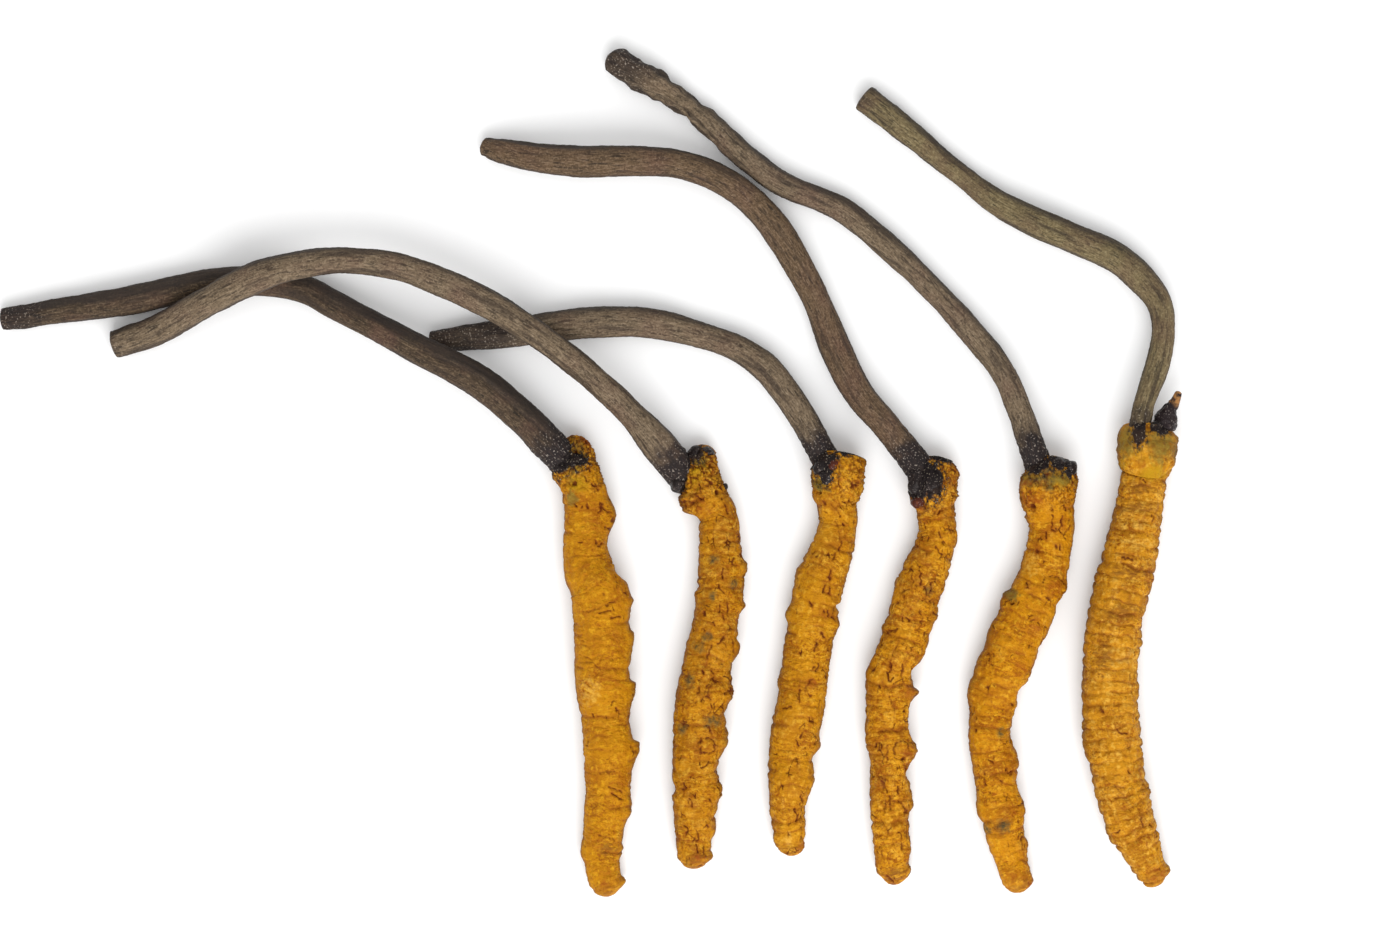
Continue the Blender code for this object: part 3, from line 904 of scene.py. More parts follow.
@dataclass(frozen=True)
class Stem:
    """One stem, from its free tip to its foot in the head, as stations of x, y, z and half-width.

    The foot runs on by sunk into the head and drops by dive. The tip is dark over the length dark_tip,
    and gnarl is how knotty the stem is near it. The side that faces up the picture, away from the key
    light, is darkened with painted shade, and the larger the stem's setting for it, the less of it is dark.
    """

    name: str
    finish: StemFibre | DarkCrust
    seed: int
    stations: tuple
    tip_cap: float = 0.35
    foot_cap: float = 0.7
    foot_length: float = 4.5
    sunk: float = 1.1
    dive: float = 1.0
    gnarl: float = 0.05
    dark_tip: float = 0.0
    painted_shade: float = 0.6

    SLOT = "dried_stem"
    FLATNESS = 0.9
    SIDES = 52
    RING_SPACING = 0.18
    CAP_STEPS = 10
    FOOT_BLEND = 1.5

    def grown(self) -> tuple:
        """Run the foot on into the head.

        Returns:
            The stations, with the last one moved.
        """
        last, before = np.array(self.stations[-1]), np.array(self.stations[-2])
        ahead = (last - before)[:3] / np.linalg.norm((last - before)[:3])
        buried = last[:3] + ahead * self.sunk - (0.0, 0.0, self.dive)
        return (*self.stations[:-1], (*buried, last[3]))

    def build(self) -> None:
        """Make the stem and tie it to the part."""
        rings = Spine(self.grown(), self.tip_cap, self.foot_cap).rings(self.RING_SPACING, self.CAP_STEPS)
        stem = drawn_out("dressed_" + self.name, rings, self.SIDES, self.FLATNESS, self.shape)
        stem.data.materials.append(self.finish.material())
        settle(stem, self.name, self.SLOT)

    def shape(self, skinned: Skinned) -> None:
        """Work out the stem's fibres, its uneven thickness, its cut tip and its rough foot.

        Args:
            skinned: the stem's points, which this gives their relief and masks.
        """
        grain = Grain(self.seed)
        straight = skinned.straight
        along = skinned.along
        furrow = grain.noise(straight, (0.55, 7.0, 0.55))
        gnarled = self.gnarl * grain.noise(straight + 63.0, (0.9, 1.3, 0.9))
        gnarled *= 1 - smooth_step(8.0, 20.0, along)
        strand = grain.noise(straight + 9.0, (0.26, 2.4, 0.26))
        lump = grain.noise(straight + 21.0, 2.6)
        pimple = grain.noise(straight + 33.0, 0.4)
        skinned.relief += 0.08 * furrow + 0.04 * strand + 0.06 * lump + 0.03 * pimple + gnarled
        start = along.max() - self.foot_length
        uneven = along + 1.1 * grain.noise(straight + 27.0, 0.9)
        foot = smooth_step(start - self.FOOT_BLEND, start + self.FOOT_BLEND, uneven)
        skinned.relief += foot * 0.07 * pimple
        tip = 1 - smooth_step(0.2, 1.2, along)
        skinned.relief += tip * (0.1 * pimple + 0.06 * lump)
        # Painted shade in the furrows between the fibres.
        skinned.masks["painted_hollow_shade"] = smooth_step(0.1, 0.7, -furrow - 0.4 * strand)
        # Painted shade: darker where the stem turns down at the sides and underneath.
        skinned.masks["rim"] = smooth_step(0.6, 0.1, np.sin(skinned.angle))
        dusk = 0.75 * (1 - smooth_step(self.dark_tip - 2.0, self.dark_tip + 2.0, along + lump))
        skinned.masks["foot"] = np.maximum(foot, dusk)
        # Painted shade on the side that faces up the picture, away from the key light.
        away = np.cos(skinned.angle) * skinned.rings.side[skinned.ring, 1] + 0.12 * strand + 0.1 * lump
        skinned.masks["painted_shade"] = smooth_step(self.painted_shade - 0.15, self.painted_shade + 0.35, away)
        skinned.masks["fibre"] = straight * (1.0, 0.17, 1.0)


@dataclass(frozen=True)
class Stub(Stem):
    """The second stem on the sixth head, a short dark cone broken off at a woody peg."""

    SLOT = "dark_stub"
    RING_SPACING = 0.07

    def grown(self) -> tuple:
        """Give the stations as they are, because the stub's foot already reaches into the head."""
        return self.stations

    def shape(self, skinned: Skinned) -> None:
        """Work out the stub's warty crust and its bare peg.

        Args:
            skinned: the stub's points, which this gives their relief and masks.
        """
        grain = Grain(self.seed)
        straight = skinned.straight
        peg = 1 - smooth_step(1.0, 1.6, skinned.along + 0.3 * grain.noise(straight, 0.6))
        wart = grain.noise(straight + 3.0, 0.5)
        skinned.relief += (1 - peg) * 0.14 * wart + 0.05 * grain.noise(straight + 7.0, (0.25, 1.5, 0.25))
        skinned.masks["peg"] = peg


@dataclass(frozen=True)
class Crust:
    """Knobs of the fungus's hardened tissue on one head, by middle, half-sizes and turn in degrees."""

    name: str
    finish: DarkCrust
    seed: int
    knobs: tuple

    def build(self) -> None:
        """Make the knobs as one piece and tie it to the part."""
        bm = bmesh.new()
        for _ in self.knobs:
            bmesh.ops.create_icosphere(bm, subdivisions=4, radius=1.0)
        crust, unit = made_from(self.name, bm)
        grain = Grain(self.seed)
        placed = []
        for ball, knob in zip(np.split(unit, len(self.knobs)), self.knobs):
            middle, half, turn = np.array(knob[:3]), np.array(knob[3:6]), math.radians(knob[6])
            shell = ball * half
            outward = ball / half
            outward /= np.linalg.norm(outward, axis=1)[:, None]
            own = shell + middle * 3
            lumpy = 0.25 * half.min() * grain.noise(own, 0.8) + 0.04 * grain.noise(own, 0.28)
            shell += outward * lumpy[:, None]
            east = shell[:, 0] * math.cos(turn) - shell[:, 1] * math.sin(turn)
            north = shell[:, 0] * math.sin(turn) + shell[:, 1] * math.cos(turn)
            placed.append(np.column_stack([east, north, shell[:, 2]]) + middle)
        move_points(crust, np.vstack(placed))
        crust.data.materials.append(self.finish.material())
        settle(crust, None, "dark_stub")


SMOOTH_GOLD = DriedSkin("smooth_golden_skin", "B67A0A", "9C5E08", "CC941A", 0.56)
CRACKED_ORANGE = DriedSkin("cracked_orange_skin", "B5780C", "8E5608", "C99426", 0.44)
LEDGED_GOLD = DriedSkin("ledged_golden_skin", "BB7F0E", "9C600A", "D49C2A", 0.5)
PLATED_AMBER = DriedSkin("plated_amber_skin", "BE800E", "935608", "D59C28", 0.42)
RUSTY_GOLD = DriedSkin("rusty_golden_skin", "BE7E0A", "965606", "D39A20", 0.52)
RINGED_TAN = DriedSkin("ringed_tan_skin", "C08316", "99620C", "D6A23A", 0.46)

TAUPE_FIBRE = StemFibre("taupe_stem", "695946", "3D3328", "93816A")
BLACKENED_FIBRE = StemFibre("blackened_stem", "443628", "271F17", "715F4A")
DARK_TAUPE_FIBRE = StemFibre("dark_taupe_stem", "5C4935", "352A1F", "86705A")
OLIVE_FIBRE = StemFibre("olive_stem", "6A5C40", "413928", "918362")
DARK_CRUST = DarkCrust("dark_crust", "1C1514", "4E423E", 0.33)
STUB_CRUST = DarkCrust("stub_crust", "211819", "4E4240", 0.36)
RED_CRUST = DarkCrust("red_crust", "451C10", "7A4226", 0.42)

# Places are in millimetres from the bundle's middle, read off the photograph.
LARVAE = (
    Larva(
        "larva_1", SMOOTH_GOLD, seed=11, head_cap=0.8, tail_cap=1.0, ring_depth=0.03, plate_depth=0.02,
        crack_share=-0.45, grit=0.9,
        stations=(
            (-1.1, 3.5, 1.0), (-1.4, 2.3, 1.8), (-1.5, 0.4, 2.35), (-0.9, -1.6, 2.4), (-0.4, -3.4, 2.25),
            (-0.4, -7.9, 2.4), (0.0, -10.0, 2.65), (0.95, -12.0, 2.95), (1.15, -16.3, 2.8),
            (1.2, -21.1, 2.75), (1.5, -24.9, 2.4), (1.8, -27.8, 2.55), (1.7, -31.8, 2.25),
            (1.3, -35.7, 2.05), (1.1, -38.5, 1.8), (1.4, -40.6, 1.7), (2.0, -42.4, 1.2),
        ),
        right=(
            (-4.3, 0.65, 1.5, 1.3), (-7.3, -0.3, 1.0, 1.0), (-9.8, -0.82, 0.7, 0.8),
            (-10.1, -0.3, 0.5, 0.2), (-12.8, 0.35, 0.6, 0.6), (-16.1, 0.42, 0.3, 2.2),
            (-19.6, -0.2, 0.5, 0.5), (-21.1, 0.65, 0.3, 2.0), (-27.1, 0.66, 0.3, 1.6),
            (-33.5, 0.45, 1.2, 1.2), (-37.8, 0.28, 0.6, 0.8), (-41.0, 0.48, 0.5, 0.5),
        ),
        left=((-1.9, -0.45, 0.9, 0.9), (-38.0, 0.3, 1.0, 0.8)),
        cracks=(
            (-0.1, 0.8, 0.1, 0.1), (-0.6, -0.5, -0.3, -0.8), (-1.6, -3.0, -1.4, -3.4),
            (-0.8, -3.4, -0.8, -3.6), (-0.3, -3.2, -0.2, -3.5), (1.1, -3.0, 1.1, -3.8, 0.9, -4.0),
            (1.1, -3.4, 1.6, -4.0), (1.9, -4.5, 1.9, -4.8), (1.4, -5.5, 1.9, -5.7), (0.6, -6.8, 0.6, -7.2),
            (1.1, -7.0, 0.9, -7.5), (1.6, -13.1, 2.5, -12.8), (0.9, -13.8, 1.6, -13.8, 2.0, -13.7),
            (-0.8, -13.8, 0.5, -13.6, 1.4, -13.2), (2.1, -14.4, 3.0, -14.3),
            (-0.9, -18.2, 0.1, -18.6, 1.8, -17.9), (-1.1, -18.9, 0.1, -18.9, 0.9, -19.4),
            (0.9, -29.8, 2.5, -29.6), (1.9, -31.2, 3.1, -31.8), (2.1, -31.9, 3.1, -32.5),
            (0.9, -36.1, 2.5, -36.6), (0.2, -23.9, 0.3, -24.1), (2.6, -23.4, 2.8, -23.6),
            (0.2, -1.1, 0.8, -1.6),
        ),
        flaws={
            Flaw.TISSUE: ((-2.9, 1.2, 1.0, 1.4), (-1.6, 0.9, 1.3, 0.7)),
            Flaw.OLIVE: ((-1.9, 1.2, 1.4, 1.6), (-1.9, -2.5, 0.6, 0.8)),
            Flaw.RUST: (
                (-0.5, 2.6, 1.1, 0.9), (0.6, -1.4, 0.5, 0.4), (0.2, -35.8, 0.4, 0.4),
                (1.4, -41.0, 0.5, 0.5),
            ),
            Flaw.YELLOW: ((-1.2, -1.1, 1.4, 0.8),),
            Flaw.PIT: ((-1.4, 1.6, 0.3, 0.3), (-1.6, -1.1, 0.4, 0.3)),
            Flaw.PALE: ((-0.1, -21.8, 1.0, 1.5),),
            Flaw.DUSKY: ((1.8, -37.5, 0.9, 0.9),),
        },
    ),
    Larva(
        "larva_2", CRACKED_ORANGE, seed=12, head_cap=1.0, tail_cap=1.2, ring_depth=0.04, plate_depth=0.06,
        crack_share=-0.1, grit=1.0,
        stations=(
            (11.25, 2.8, 1.3), (11.1, 0.0, 1.8), (11.4, -1.6, 2.0), (12.0, -3.2, 2.15), (12.8, -4.8, 2.05),
            (13.0, -9.8, 2.3), (12.9, -12.8, 2.35), (12.3, -16.3, 2.4), (11.6, -19.3, 2.45),
            (11.1, -22.8, 2.65), (10.8, -25.8, 2.55), (10.5, -29.3, 2.35), (10.5, -32.8, 2.3),
            (10.4, -35.3, 2.05), (10.3, -37.3, 1.75), (10.4, -39.7, 1.4),
        ),
        right=(
            (-9.2, 0.45, 0.4, 1.2), (-13.3, 0.32, 0.5, 0.4), (-14.9, -0.2, 0.8, 0.8),
            (-17.6, 0.52, 0.8, 1.2), (-21.9, 0.52, 1.6, 1.1), (-24.1, -0.2, 0.5, 0.6),
            (-26.9, 0.56, 1.5, 1.2), (-29.6, -0.15, 0.4, 0.5), (-31.9, 0.42, 1.2, 0.6),
            (-33.9, -0.1, 0.6, 0.6), (-35.8, 0.22, 0.6, 0.6), (-38.5, 0.35, 0.6, 0.5),
        ),
        left=(
            (-2.8, 0.8, 1.0, 1.4), (-4.5, -0.5, 0.5, 0.6), (-12.2, 0.26, 0.5, 0.5), (-31.6, -0.3, 0.5, 0.5),
        ),
        cracks=(
            (13.4, -3.2, 13.7, -4.0), (13.2, -9.6, 13.2, -10.6), (12.7, -11.2, 12.9, -11.7, 13.3, -11.9),
            (13.8, -12.2, 13.7, -13.2, 13.8, -14.8), (13.6, -13.2, 13.8, -13.9), (13.3, -14.3, 13.4, -14.7),
            (12.9, -13.1, 12.9, -13.9), (11.3, -13.9, 11.4, -14.2), (12.2, -14.9, 12.3, -15.2),
            (11.3, -15.6, 11.4, -15.8), (12.8, -17.1, 13.4, -16.4), (14.2, -16.8, 14.2, -17.8),
            (12.1, -17.2, 11.8, -17.9, 11.7, -18.6), (11.2, -19.9, 11.3, -20.2), (12.2, -19.9, 12.3, -20.1),
            (12.1, -23.1, 12.2, -23.4), (11.9, -25.2, 12.1, -25.9), (11.1, -26.4, 10.9, -26.8),
            (9.9, -32.5, 10.2, -33.2), (11.9, -32.5, 12.1, -32.8), (11.7, -35.0, 11.8, -35.2),
            (10.8, -35.8, 10.8, -36.5), (10.6, -37.0, 10.7, -37.8),
            (9.2, -1.2, 9.9, -1.2, 10.4, -1.6, 11.4, -1.6), (9.9, -0.6, 10.7, -0.8),
            (10.9, 0.5, 11.4, -0.2), (12.2, 0.8, 12.2, -0.6), (11.6, -0.8, 12.2, -1.4),
            (10.6, -2.5, 11.3, -2.8), (9.7, -2.8, 10.3, -3.2), (10.9, -1.4, 11.1, -2.1),
            (12.2, -20.9, 12.8, -20.9), (13.8, -21.6, 13.6, -21.9, 13.2, -22.2),
            (12.2, -21.1, 11.8, -21.6, 11.6, -22.4), (10.8, -21.6, 10.9, -21.9, 10.7, -22.1),
            (9.2, -31.1, 9.6, -31.4, 9.2, -31.6), (10.9, -26.6, 10.7, -26.9, 10.7, -27.2, 11.1, -27.9),
            (12.3, -27.1, 12.4, -27.6), (9.3, -35.0, 9.7, -35.4, 9.6, -35.8),
        ),
        flaws={
            Flaw.TISSUE: ((10.2, 1.8, 1.1, 0.9), (9.2, -0.9, 0.4, 1.2)),
            Flaw.OLIVE: ((10.9, 1.1, 0.8, 0.7),),
            Flaw.YELLOW: ((11.3, -0.6, 1.6, 1.4),),
            Flaw.RUST: ((11.2, -3.4, 0.8, 0.8), (10.7, -38.5, 0.7, 0.7)),
            Flaw.PIT: ((12.8, -2.0, 0.3, 0.3),),
            Flaw.SPOT: (
                (12.2, -8.8, 0.5, 0.5), (14.4, -11.1, 0.5, 0.62), (12.2, -12.4, 0.38, 0.5),
                (11.6, -16.4, 0.5, 0.5), (10.8, -17.4, 0.62, 0.62), (9.9, -20.8, 0.5, 0.88),
                (12.2, -24.8, 1.0, 0.62), (9.2, -25.4, 0.5, 0.62),
            ),
            Flaw.RIM: ((12.4, -21.9, 0.9, 0.9), (11.7, -27.2, 0.8, 0.8), (10.7, -38.5, 0.8, 0.8)),
            Flaw.DUSKY: ((10.7, -38.8, 1.2, 1.0),),
        },
    ),
    Larva(
        "larva_3", LEDGED_GOLD, seed=13, head_cap=0.5, tail_cap=0.9, ring_depth=0.04, plate_depth=0.05,
        crack_share=-0.2, grit=0.55,
        stations=(
            (25.1, 2.0, 2.3), (24.8, 0.2, 2.65), (24.7, -1.3, 2.6), (24.5, -3.0, 2.3), (24.8, -4.8, 1.95),
            (24.4, -6.9, 2.1), (23.7, -9.0, 2.3), (23.0, -11.0, 2.45), (22.5, -13.2, 2.45),
            (21.65, -19.0, 2.3), (21.2, -22.3, 2.4), (20.7, -25.0, 2.45), (20.3, -27.8, 2.15),
            (20.0, -30.8, 2.15), (19.75, -33.3, 1.85), (19.9, -35.6, 1.65), (20.3, -38.4, 1.1),
        ),
        right=(
            (1.4, 0.3, 0.6, 0.6), (-13.4, -0.4, 0.3, 0.4), (-15.2, 0.32, 0.5, 0.8), (-27.4, 0.4, 0.8, 0.7),
            (-28.6, -0.15, 0.4, 0.4), (-30.4, 0.21, 0.7, 1.4),
        ),
        left=(
            (-3.6, -0.35, 0.8, 0.8), (-9.9, 0.28, 0.6, 0.8), (-14.1, 0.45, 0.8, 0.8),
            (-17.8, 0.25, 2.0, 2.0), (-20.8, 0.3, 0.8, 0.8), (-27.8, 0.3, 3.0, 3.0), (-37.0, 0.3, 0.8, 0.6),
        ),
        cracks=(
            (27.1, 0.8, 27.1, 0.2, 26.9, -0.2), (24.8, -0.6, 24.8, -1.2),
            (25.9, -1.4, 26.4, -1.2, 26.9, -0.9), (23.1, -2.5, 23.4, -3.0),
            (24.1, -2.8, 24.4, -3.2, 24.9, -4.0), (25.8, -2.4, 25.9, -2.6),
            (24.4, -4.8, 24.9, -6.0, 24.9, -6.8), (25.1, -7.0, 24.8, -8.0), (24.4, -8.2, 24.1, -8.8),
            (25.2, -5.0, 25.4, -5.3), (26.4, -4.7, 26.4, -5.0), (23.9, -9.9, 23.9, -10.8),
            (23.4, -11.2, 23.2, -11.9), (23.9, -11.6, 23.9, -12.1), (21.8, -12.9, 22.1, -13.3),
            (23.2, -13.7, 23.4, -13.9), (23.8, -13.8, 23.9, -14.2), (24.4, -14.3, 24.4, -14.7),
            (23.1, -15.9, 23.4, -16.4), (22.6, -16.9, 22.4, -17.8), (23.8, -17.4, 23.8, -17.8),
            (22.8, -19.1, 22.6, -19.8), (22.4, -19.4, 22.2, -19.6), (22.1, -20.6, 21.8, -21.1, 21.4, -21.8),
            (20.9, -21.8, 20.8, -22.9), (19.1, -23.6, 19.9, -23.4), (21.9, -24.6, 22.1, -24.9),
            (21.1, -25.8, 21.1, -26.1), (20.6, -26.6, 20.8, -27.1), (21.1, -32.0, 21.2, -32.8),
            (20.4, -33.5, 20.6, -34.0), (20.8, -34.0, 20.6, -34.8),
        ),
        flaws={
            Flaw.TISSUE: ((23.2, 0.6, 1.2, 1.3), (26.1, 1.8, 1.7, 0.4)),
            Flaw.OLIVE: ((22.8, -1.1, 0.7, 0.6),),
            Flaw.YELLOW: ((23.4, -1.2, 1.0, 0.6),),
            Flaw.RUST: ((24.4, 0.7, 0.5, 0.5), (22.1, -21.1, 0.6, 0.6), (21.1, -37.5, 0.6, 0.9)),
            Flaw.PIT: ((22.8, -1.8, 0.2, 0.2),),
            Flaw.RIM: ((21.8, -26.6, 0.8, 0.8),),
            Flaw.PALE: ((19.8, -36.5, 0.6, 0.8),),
        },
    ),
    Larva(
        "larva_4", PLATED_AMBER, seed=14, head_cap=0.7, tail_cap=0.9, ring_depth=0.05, plate_depth=0.07,
        crack_share=0.0, grit=0.75,
        stations=(
            (34.9, 1.5, 1.5), (34.5, -0.7, 2.3), (34.2, -2.5, 2.3), (34.6, -4.3, 1.95), (34.7, -6.3, 2.0),
            (34.1, -8.4, 2.1), (33.3, -10.8, 2.25), (32.4, -13.0, 2.3), (31.8, -15.6, 2.3),
            (31.0, -18.0, 2.4), (30.1, -20.3, 2.3), (29.8, -22.8, 2.2), (29.7, -25.3, 2.15),
            (30.0, -28.0, 2.1), (29.9, -33.8, 1.95), (30.1, -36.8, 1.85), (30.2, -39.0, 1.6),
            (30.6, -41.3, 1.0),
        ),
        right=(
            (-0.1, 0.3, 0.8, 0.6), (-2.5, 0.32, 0.7, 0.5), (-14.2, 0.32, 0.8, 0.8),
            (-19.9, -0.75, 0.7, 0.7), (-21.9, 0.76, 0.5, 0.8), (-27.8, 0.6, 1.2, 0.9),
            (-30.1, -0.42, 0.8, 0.8), (-33.2, 0.48, 1.6, 0.8), (-37.8, 0.22, 1.0, 1.0),
            (-40.1, 0.5, 0.8, 0.5),
        ),
        left=(
            (-3.8, -0.33, 0.6, 0.6), (-8.8, 0.24, 0.6, 1.0), (-10.8, 0.27, 1.0, 1.0),
            (-15.2, 0.26, 0.8, 0.8), (-20.2, 0.3, 1.5, 2.0), (-26.8, 0.3, 1.5, 1.5), (-39.8, 0.3, 0.6, 0.6),
        ),
        cracks=(
            (35.9, 0.7, 36.0, 0.5), (36.5, 0.3, 36.5, 0.1), (34.9, -3.5, 34.6, -4.0),
            (36.0, -5.8, 36.5, -5.8), (34.8, -6.0, 35.0, -6.5), (34.4, -7.5, 34.8, -8.0, 35.1, -8.3),
            (32.1, -10.2, 32.1, -11.8), (32.9, -10.1, 32.9, -11.2), (31.9, -11.7, 30.9, -11.9, 31.2, -12.4),
            (32.8, -12.2, 33.8, -12.7, 34.8, -12.8), (32.9, -13.8, 33.2, -14.4, 33.0, -15.2),
            (31.1, -14.4, 31.1, -14.8), (31.6, -14.4, 31.8, -14.8), (29.6, -15.9, 30.2, -15.8, 30.6, -15.6),
            (30.8, -16.9, 30.4, -17.6, 30.2, -18.2), (29.9, -18.8, 30.1, -19.6), (31.2, -19.1, 31.1, -20.2),
            (29.1, -20.8, 29.9, -21.8, 30.6, -20.8), (30.6, -21.2, 31.4, -20.9, 30.9, -21.4),
            (29.8, -22.2, 30.1, -22.9, 30.4, -23.6), (27.9, -25.4, 29.4, -25.8, 30.9, -25.8),
            (30.6, -26.9, 30.2, -27.4, 30.4, -28.1), (29.6, -27.1, 29.6, -28.6),
            (28.9, -30.4, 29.9, -30.8, 30.8, -30.8), (29.1, -30.9, 29.6, -31.8), (30.8, -31.2, 30.9, -31.9),
            (29.4, -32.2, 29.4, -33.8), (29.9, -32.2, 29.9, -33.5), (30.9, -32.8, 31.6, -34.0),
            (29.1, -34.8, 29.8, -36.0, 28.9, -37.0), (30.9, -36.0, 31.2, -36.5), (29.6, -40.0, 30.2, -40.8),
        ),
        flaws={
            Flaw.TISSUE: ((32.6, -0.6, 1.5, 2.0), (34.1, -1.1, 1.0, 1.4), (35.2, 1.1, 1.6, 0.5)),
            Flaw.RUST: (
                (32.6, -3.0, 0.8, 0.7), (36.2, -1.2, 0.3, 0.4), (33.5, -4.8, 0.4, 0.4),
                (31.9, -21.8, 0.8, 0.8), (31.6, -27.8, 0.5, 0.7),
            ),
            Flaw.SPOT: ((33.8, -11.8, 0.5, 0.5),),
            Flaw.RIM: ((31.2, -27.8, 1.0, 1.0),),
            Flaw.PIT: ((31.2, -28.6, 0.2, 0.2), (31.9, -40.2, 0.3, 0.3)),
            Flaw.DUSKY: ((30.6, -40.0, 1.2, 1.0),),
        },
    ),
    Larva(
        "larva_5", RUSTY_GOLD, seed=15, head_cap=0.6, tail_cap=0.8, ring_depth=0.035, plate_depth=0.05,
        crack_share=-0.2, grit=0.8,
        stations=(
            (46.1, 1.4, 1.8), (45.9, -0.5, 2.7), (45.7, -2.0, 2.9), (45.9, -3.6, 2.55), (46.15, -5.6, 2.3),
            (45.8, -7.8, 2.3), (45.3, -10.0, 2.4), (44.5, -12.2, 2.55), (43.4, -14.8, 2.65),
            (41.6, -19.2, 2.6), (40.9, -21.4, 2.4), (40.25, -23.6, 2.2), (39.95, -26.3, 2.2),
            (40.3, -29.0, 2.15), (41.1, -34.0, 2.15), (41.6, -36.6, 1.95), (42.1, -38.6, 1.65),
            (42.6, -40.4, 1.55), (43.3, -42.0, 0.9),
        ),
        right=(
            (-0.5, 0.3, 0.9, 0.9), (-11.4, 0.3, 0.8, 0.8), (-13.4, -0.2, 0.5, 0.6),
            (-17.6, -0.26, 0.8, 0.8), (-22.1, -0.5, 0.8, 0.8), (-26.1, -0.18, 0.4, 0.5),
            (-28.8, 0.4, 1.3, 1.3), (-31.2, -0.22, 0.7, 0.7), (-33.4, 0.3, 0.9, 1.4),
            (-37.4, 0.24, 0.8, 0.8), (-41.0, 0.35, 0.6, 0.5),
        ),
        left=(
            (-12.3, 0.42, 0.6, 1.2), (-15.8, 0.34, 1.4, 1.4), (-19.9, 0.4, 2.0, 2.0),
            (-22.2, 0.5, 1.6, 1.4), (-33.8, 0.28, 1.2, 0.8),
        ),
        cracks=(
            (45.8, -3.0, 46.0, -3.5), (46.0, -4.0, 46.0, -5.2), (47.0, -4.2, 47.0, -5.2),
            (47.2, -2.8, 47.5, -3.5), (47.8, -5.5, 48.0, -5.2), (45.4, -5.8, 45.5, -6.5),
            (46.0, -5.5, 46.4, -5.8), (46.5, -5.5, 46.6, -5.7), (46.4, -7.2, 46.5, -7.5),
            (44.5, -7.7, 44.5, -8.0), (46.8, -7.3, 46.9, -7.7), (43.5, -11.1, 43.6, -11.6),
            (44.6, -15.1, 44.8, -15.2), (40.1, -18.1, 40.2, -18.2), (40.0, -19.1, 40.1, -19.2),
            (42.1, -22.9, 42.2, -23.1), (38.4, -24.4, 38.5, -24.6), (38.4, -25.6, 38.5, -25.8),
            (40.0, -28.8, 40.1, -28.9), (42.0, -29.8, 42.0, -29.9), (39.2, -29.8, 39.4, -31.2),
        ),
        flaws={
            Flaw.TISSUE: ((47.2, 0.5, 1.6, 1.0), (44.5, 0.2, 1.2, 0.8)),
            Flaw.OLIVE: ((44.0, -0.8, 1.0, 0.7), (47.0, -1.1, 1.2, 0.5), (42.1, -12.2, 0.6, 0.7)),
            Flaw.YELLOW: ((46.5, -1.1, 1.6, 0.6),),
            Flaw.SPOT: (
                (45.6, -0.8, 0.88, 1.0), (41.0, -25.9, 0.5, 0.5), (41.2, -35.1, 0.75, 0.62),
                (39.5, -35.6, 0.5, 0.5),
            ),
            Flaw.RUST: (
                (43.8, -2.5, 1.4, 0.8), (43.4, -1.1, 0.9, 0.3), (46.1, -11.6, 0.8, 0.8),
                (41.8, -13.9, 0.4, 0.4), (44.5, -15.2, 0.6, 1.0), (43.0, -19.6, 0.8, 0.8),
                (44.0, -41.0, 0.6, 0.6),
            ),
            Flaw.PIT: ((44.0, -3.0, 0.4, 0.3), (42.0, -13.1, 0.2, 0.2)),
            Flaw.RIM: ((46.1, -11.6, 1.2, 1.2),),
            Flaw.DUSKY: ((40.5, -35.4, 1.5, 0.8),),
            Flaw.PALE: ((44.0, -9.3, 0.8, 1.2),),
        },
    ),
    Larva(
        "larva_6", RINGED_TAN, seed=16, head_cap=0.8, tail_cap=1.1, ring_depth=0.085, plate_depth=0.09,
        crack_share=-0.45, grit=0.12,
        stations=(
            (55.8, 4.8, 2.5), (55.6, 3.4, 2.95), (55.6, 2.0, 3.1), (55.6, 0.9, 2.8), (55.5, -0.1, 2.35),
            (55.2, -1.6, 2.4), (54.9, -3.4, 2.45), (54.5, -5.4, 2.55), (54.0, -8.0, 2.75),
            (53.4, -10.8, 2.85), (52.2, -16.3, 2.85), (51.9, -22.2, 2.8), (52.2, -25.4, 2.8),
            (53.0, -31.4, 2.65), (53.8, -34.0, 2.6), (54.7, -36.6, 2.25), (55.4, -38.3, 1.95),
            (56.0, -39.6, 1.65), (56.6, -41.5, 1.2),
        ),
        right=(
            (3.5, 0.3, 0.8, 0.8), (-0.8, -0.1, 0.5, 0.5), (-14.6, -0.18, 0.8, 0.8), (-16.9, 0.27, 0.8, 0.8),
            (-21.8, 0.25, 0.9, 0.9), (-31.4, 0.26, 0.6, 0.7), (-33.8, -0.16, 1.0, 0.8),
            (-38.5, -0.13, 0.5, 0.5), (-39.8, 0.41, 0.8, 0.8),
        ),
        left=(
            (0.5, 0.28, 0.6, 0.4), (-10.3, 0.25, 1.0, 1.0), (-27.2, 0.44, 2.2, 1.8),
            (-36.5, 0.36, 1.4, 1.2),
        ),
        cracks=(
            (55.0, -0.8, 55.4, -1.1), (56.1, -4.5, 56.1, -5.0), (53.0, -8.6, 54.0, -8.7),
            (56.0, -10.8, 56.0, -10.9), (55.1, -14.3, 55.2, -14.6), (50.8, -23.4, 51.0, -23.9),
            (52.5, -25.6, 53.0, -25.9, 53.5, -25.9), (53.6, -29.6, 53.8, -29.9),
            (51.0, -30.4, 52.5, -31.4, 53.0, -31.9), (54.8, -34.2, 55.1, -35.0), (55.9, -34.9, 56.0, -35.1),
            (52.4, -35.8, 52.8, -35.5), (56.5, -36.0, 56.5, -36.2), (57.6, 4.8, 58.0, 4.2),
        ),
        flaws={
            Flaw.TISSUE: ((54.6, 3.6, 0.7, 1.0), (56.8, 3.9, 0.9, 0.6)),
            Flaw.OLIVE: ((53.2, 3.0, 1.0, 1.3), (56.8, 2.8, 1.5, 1.4)),
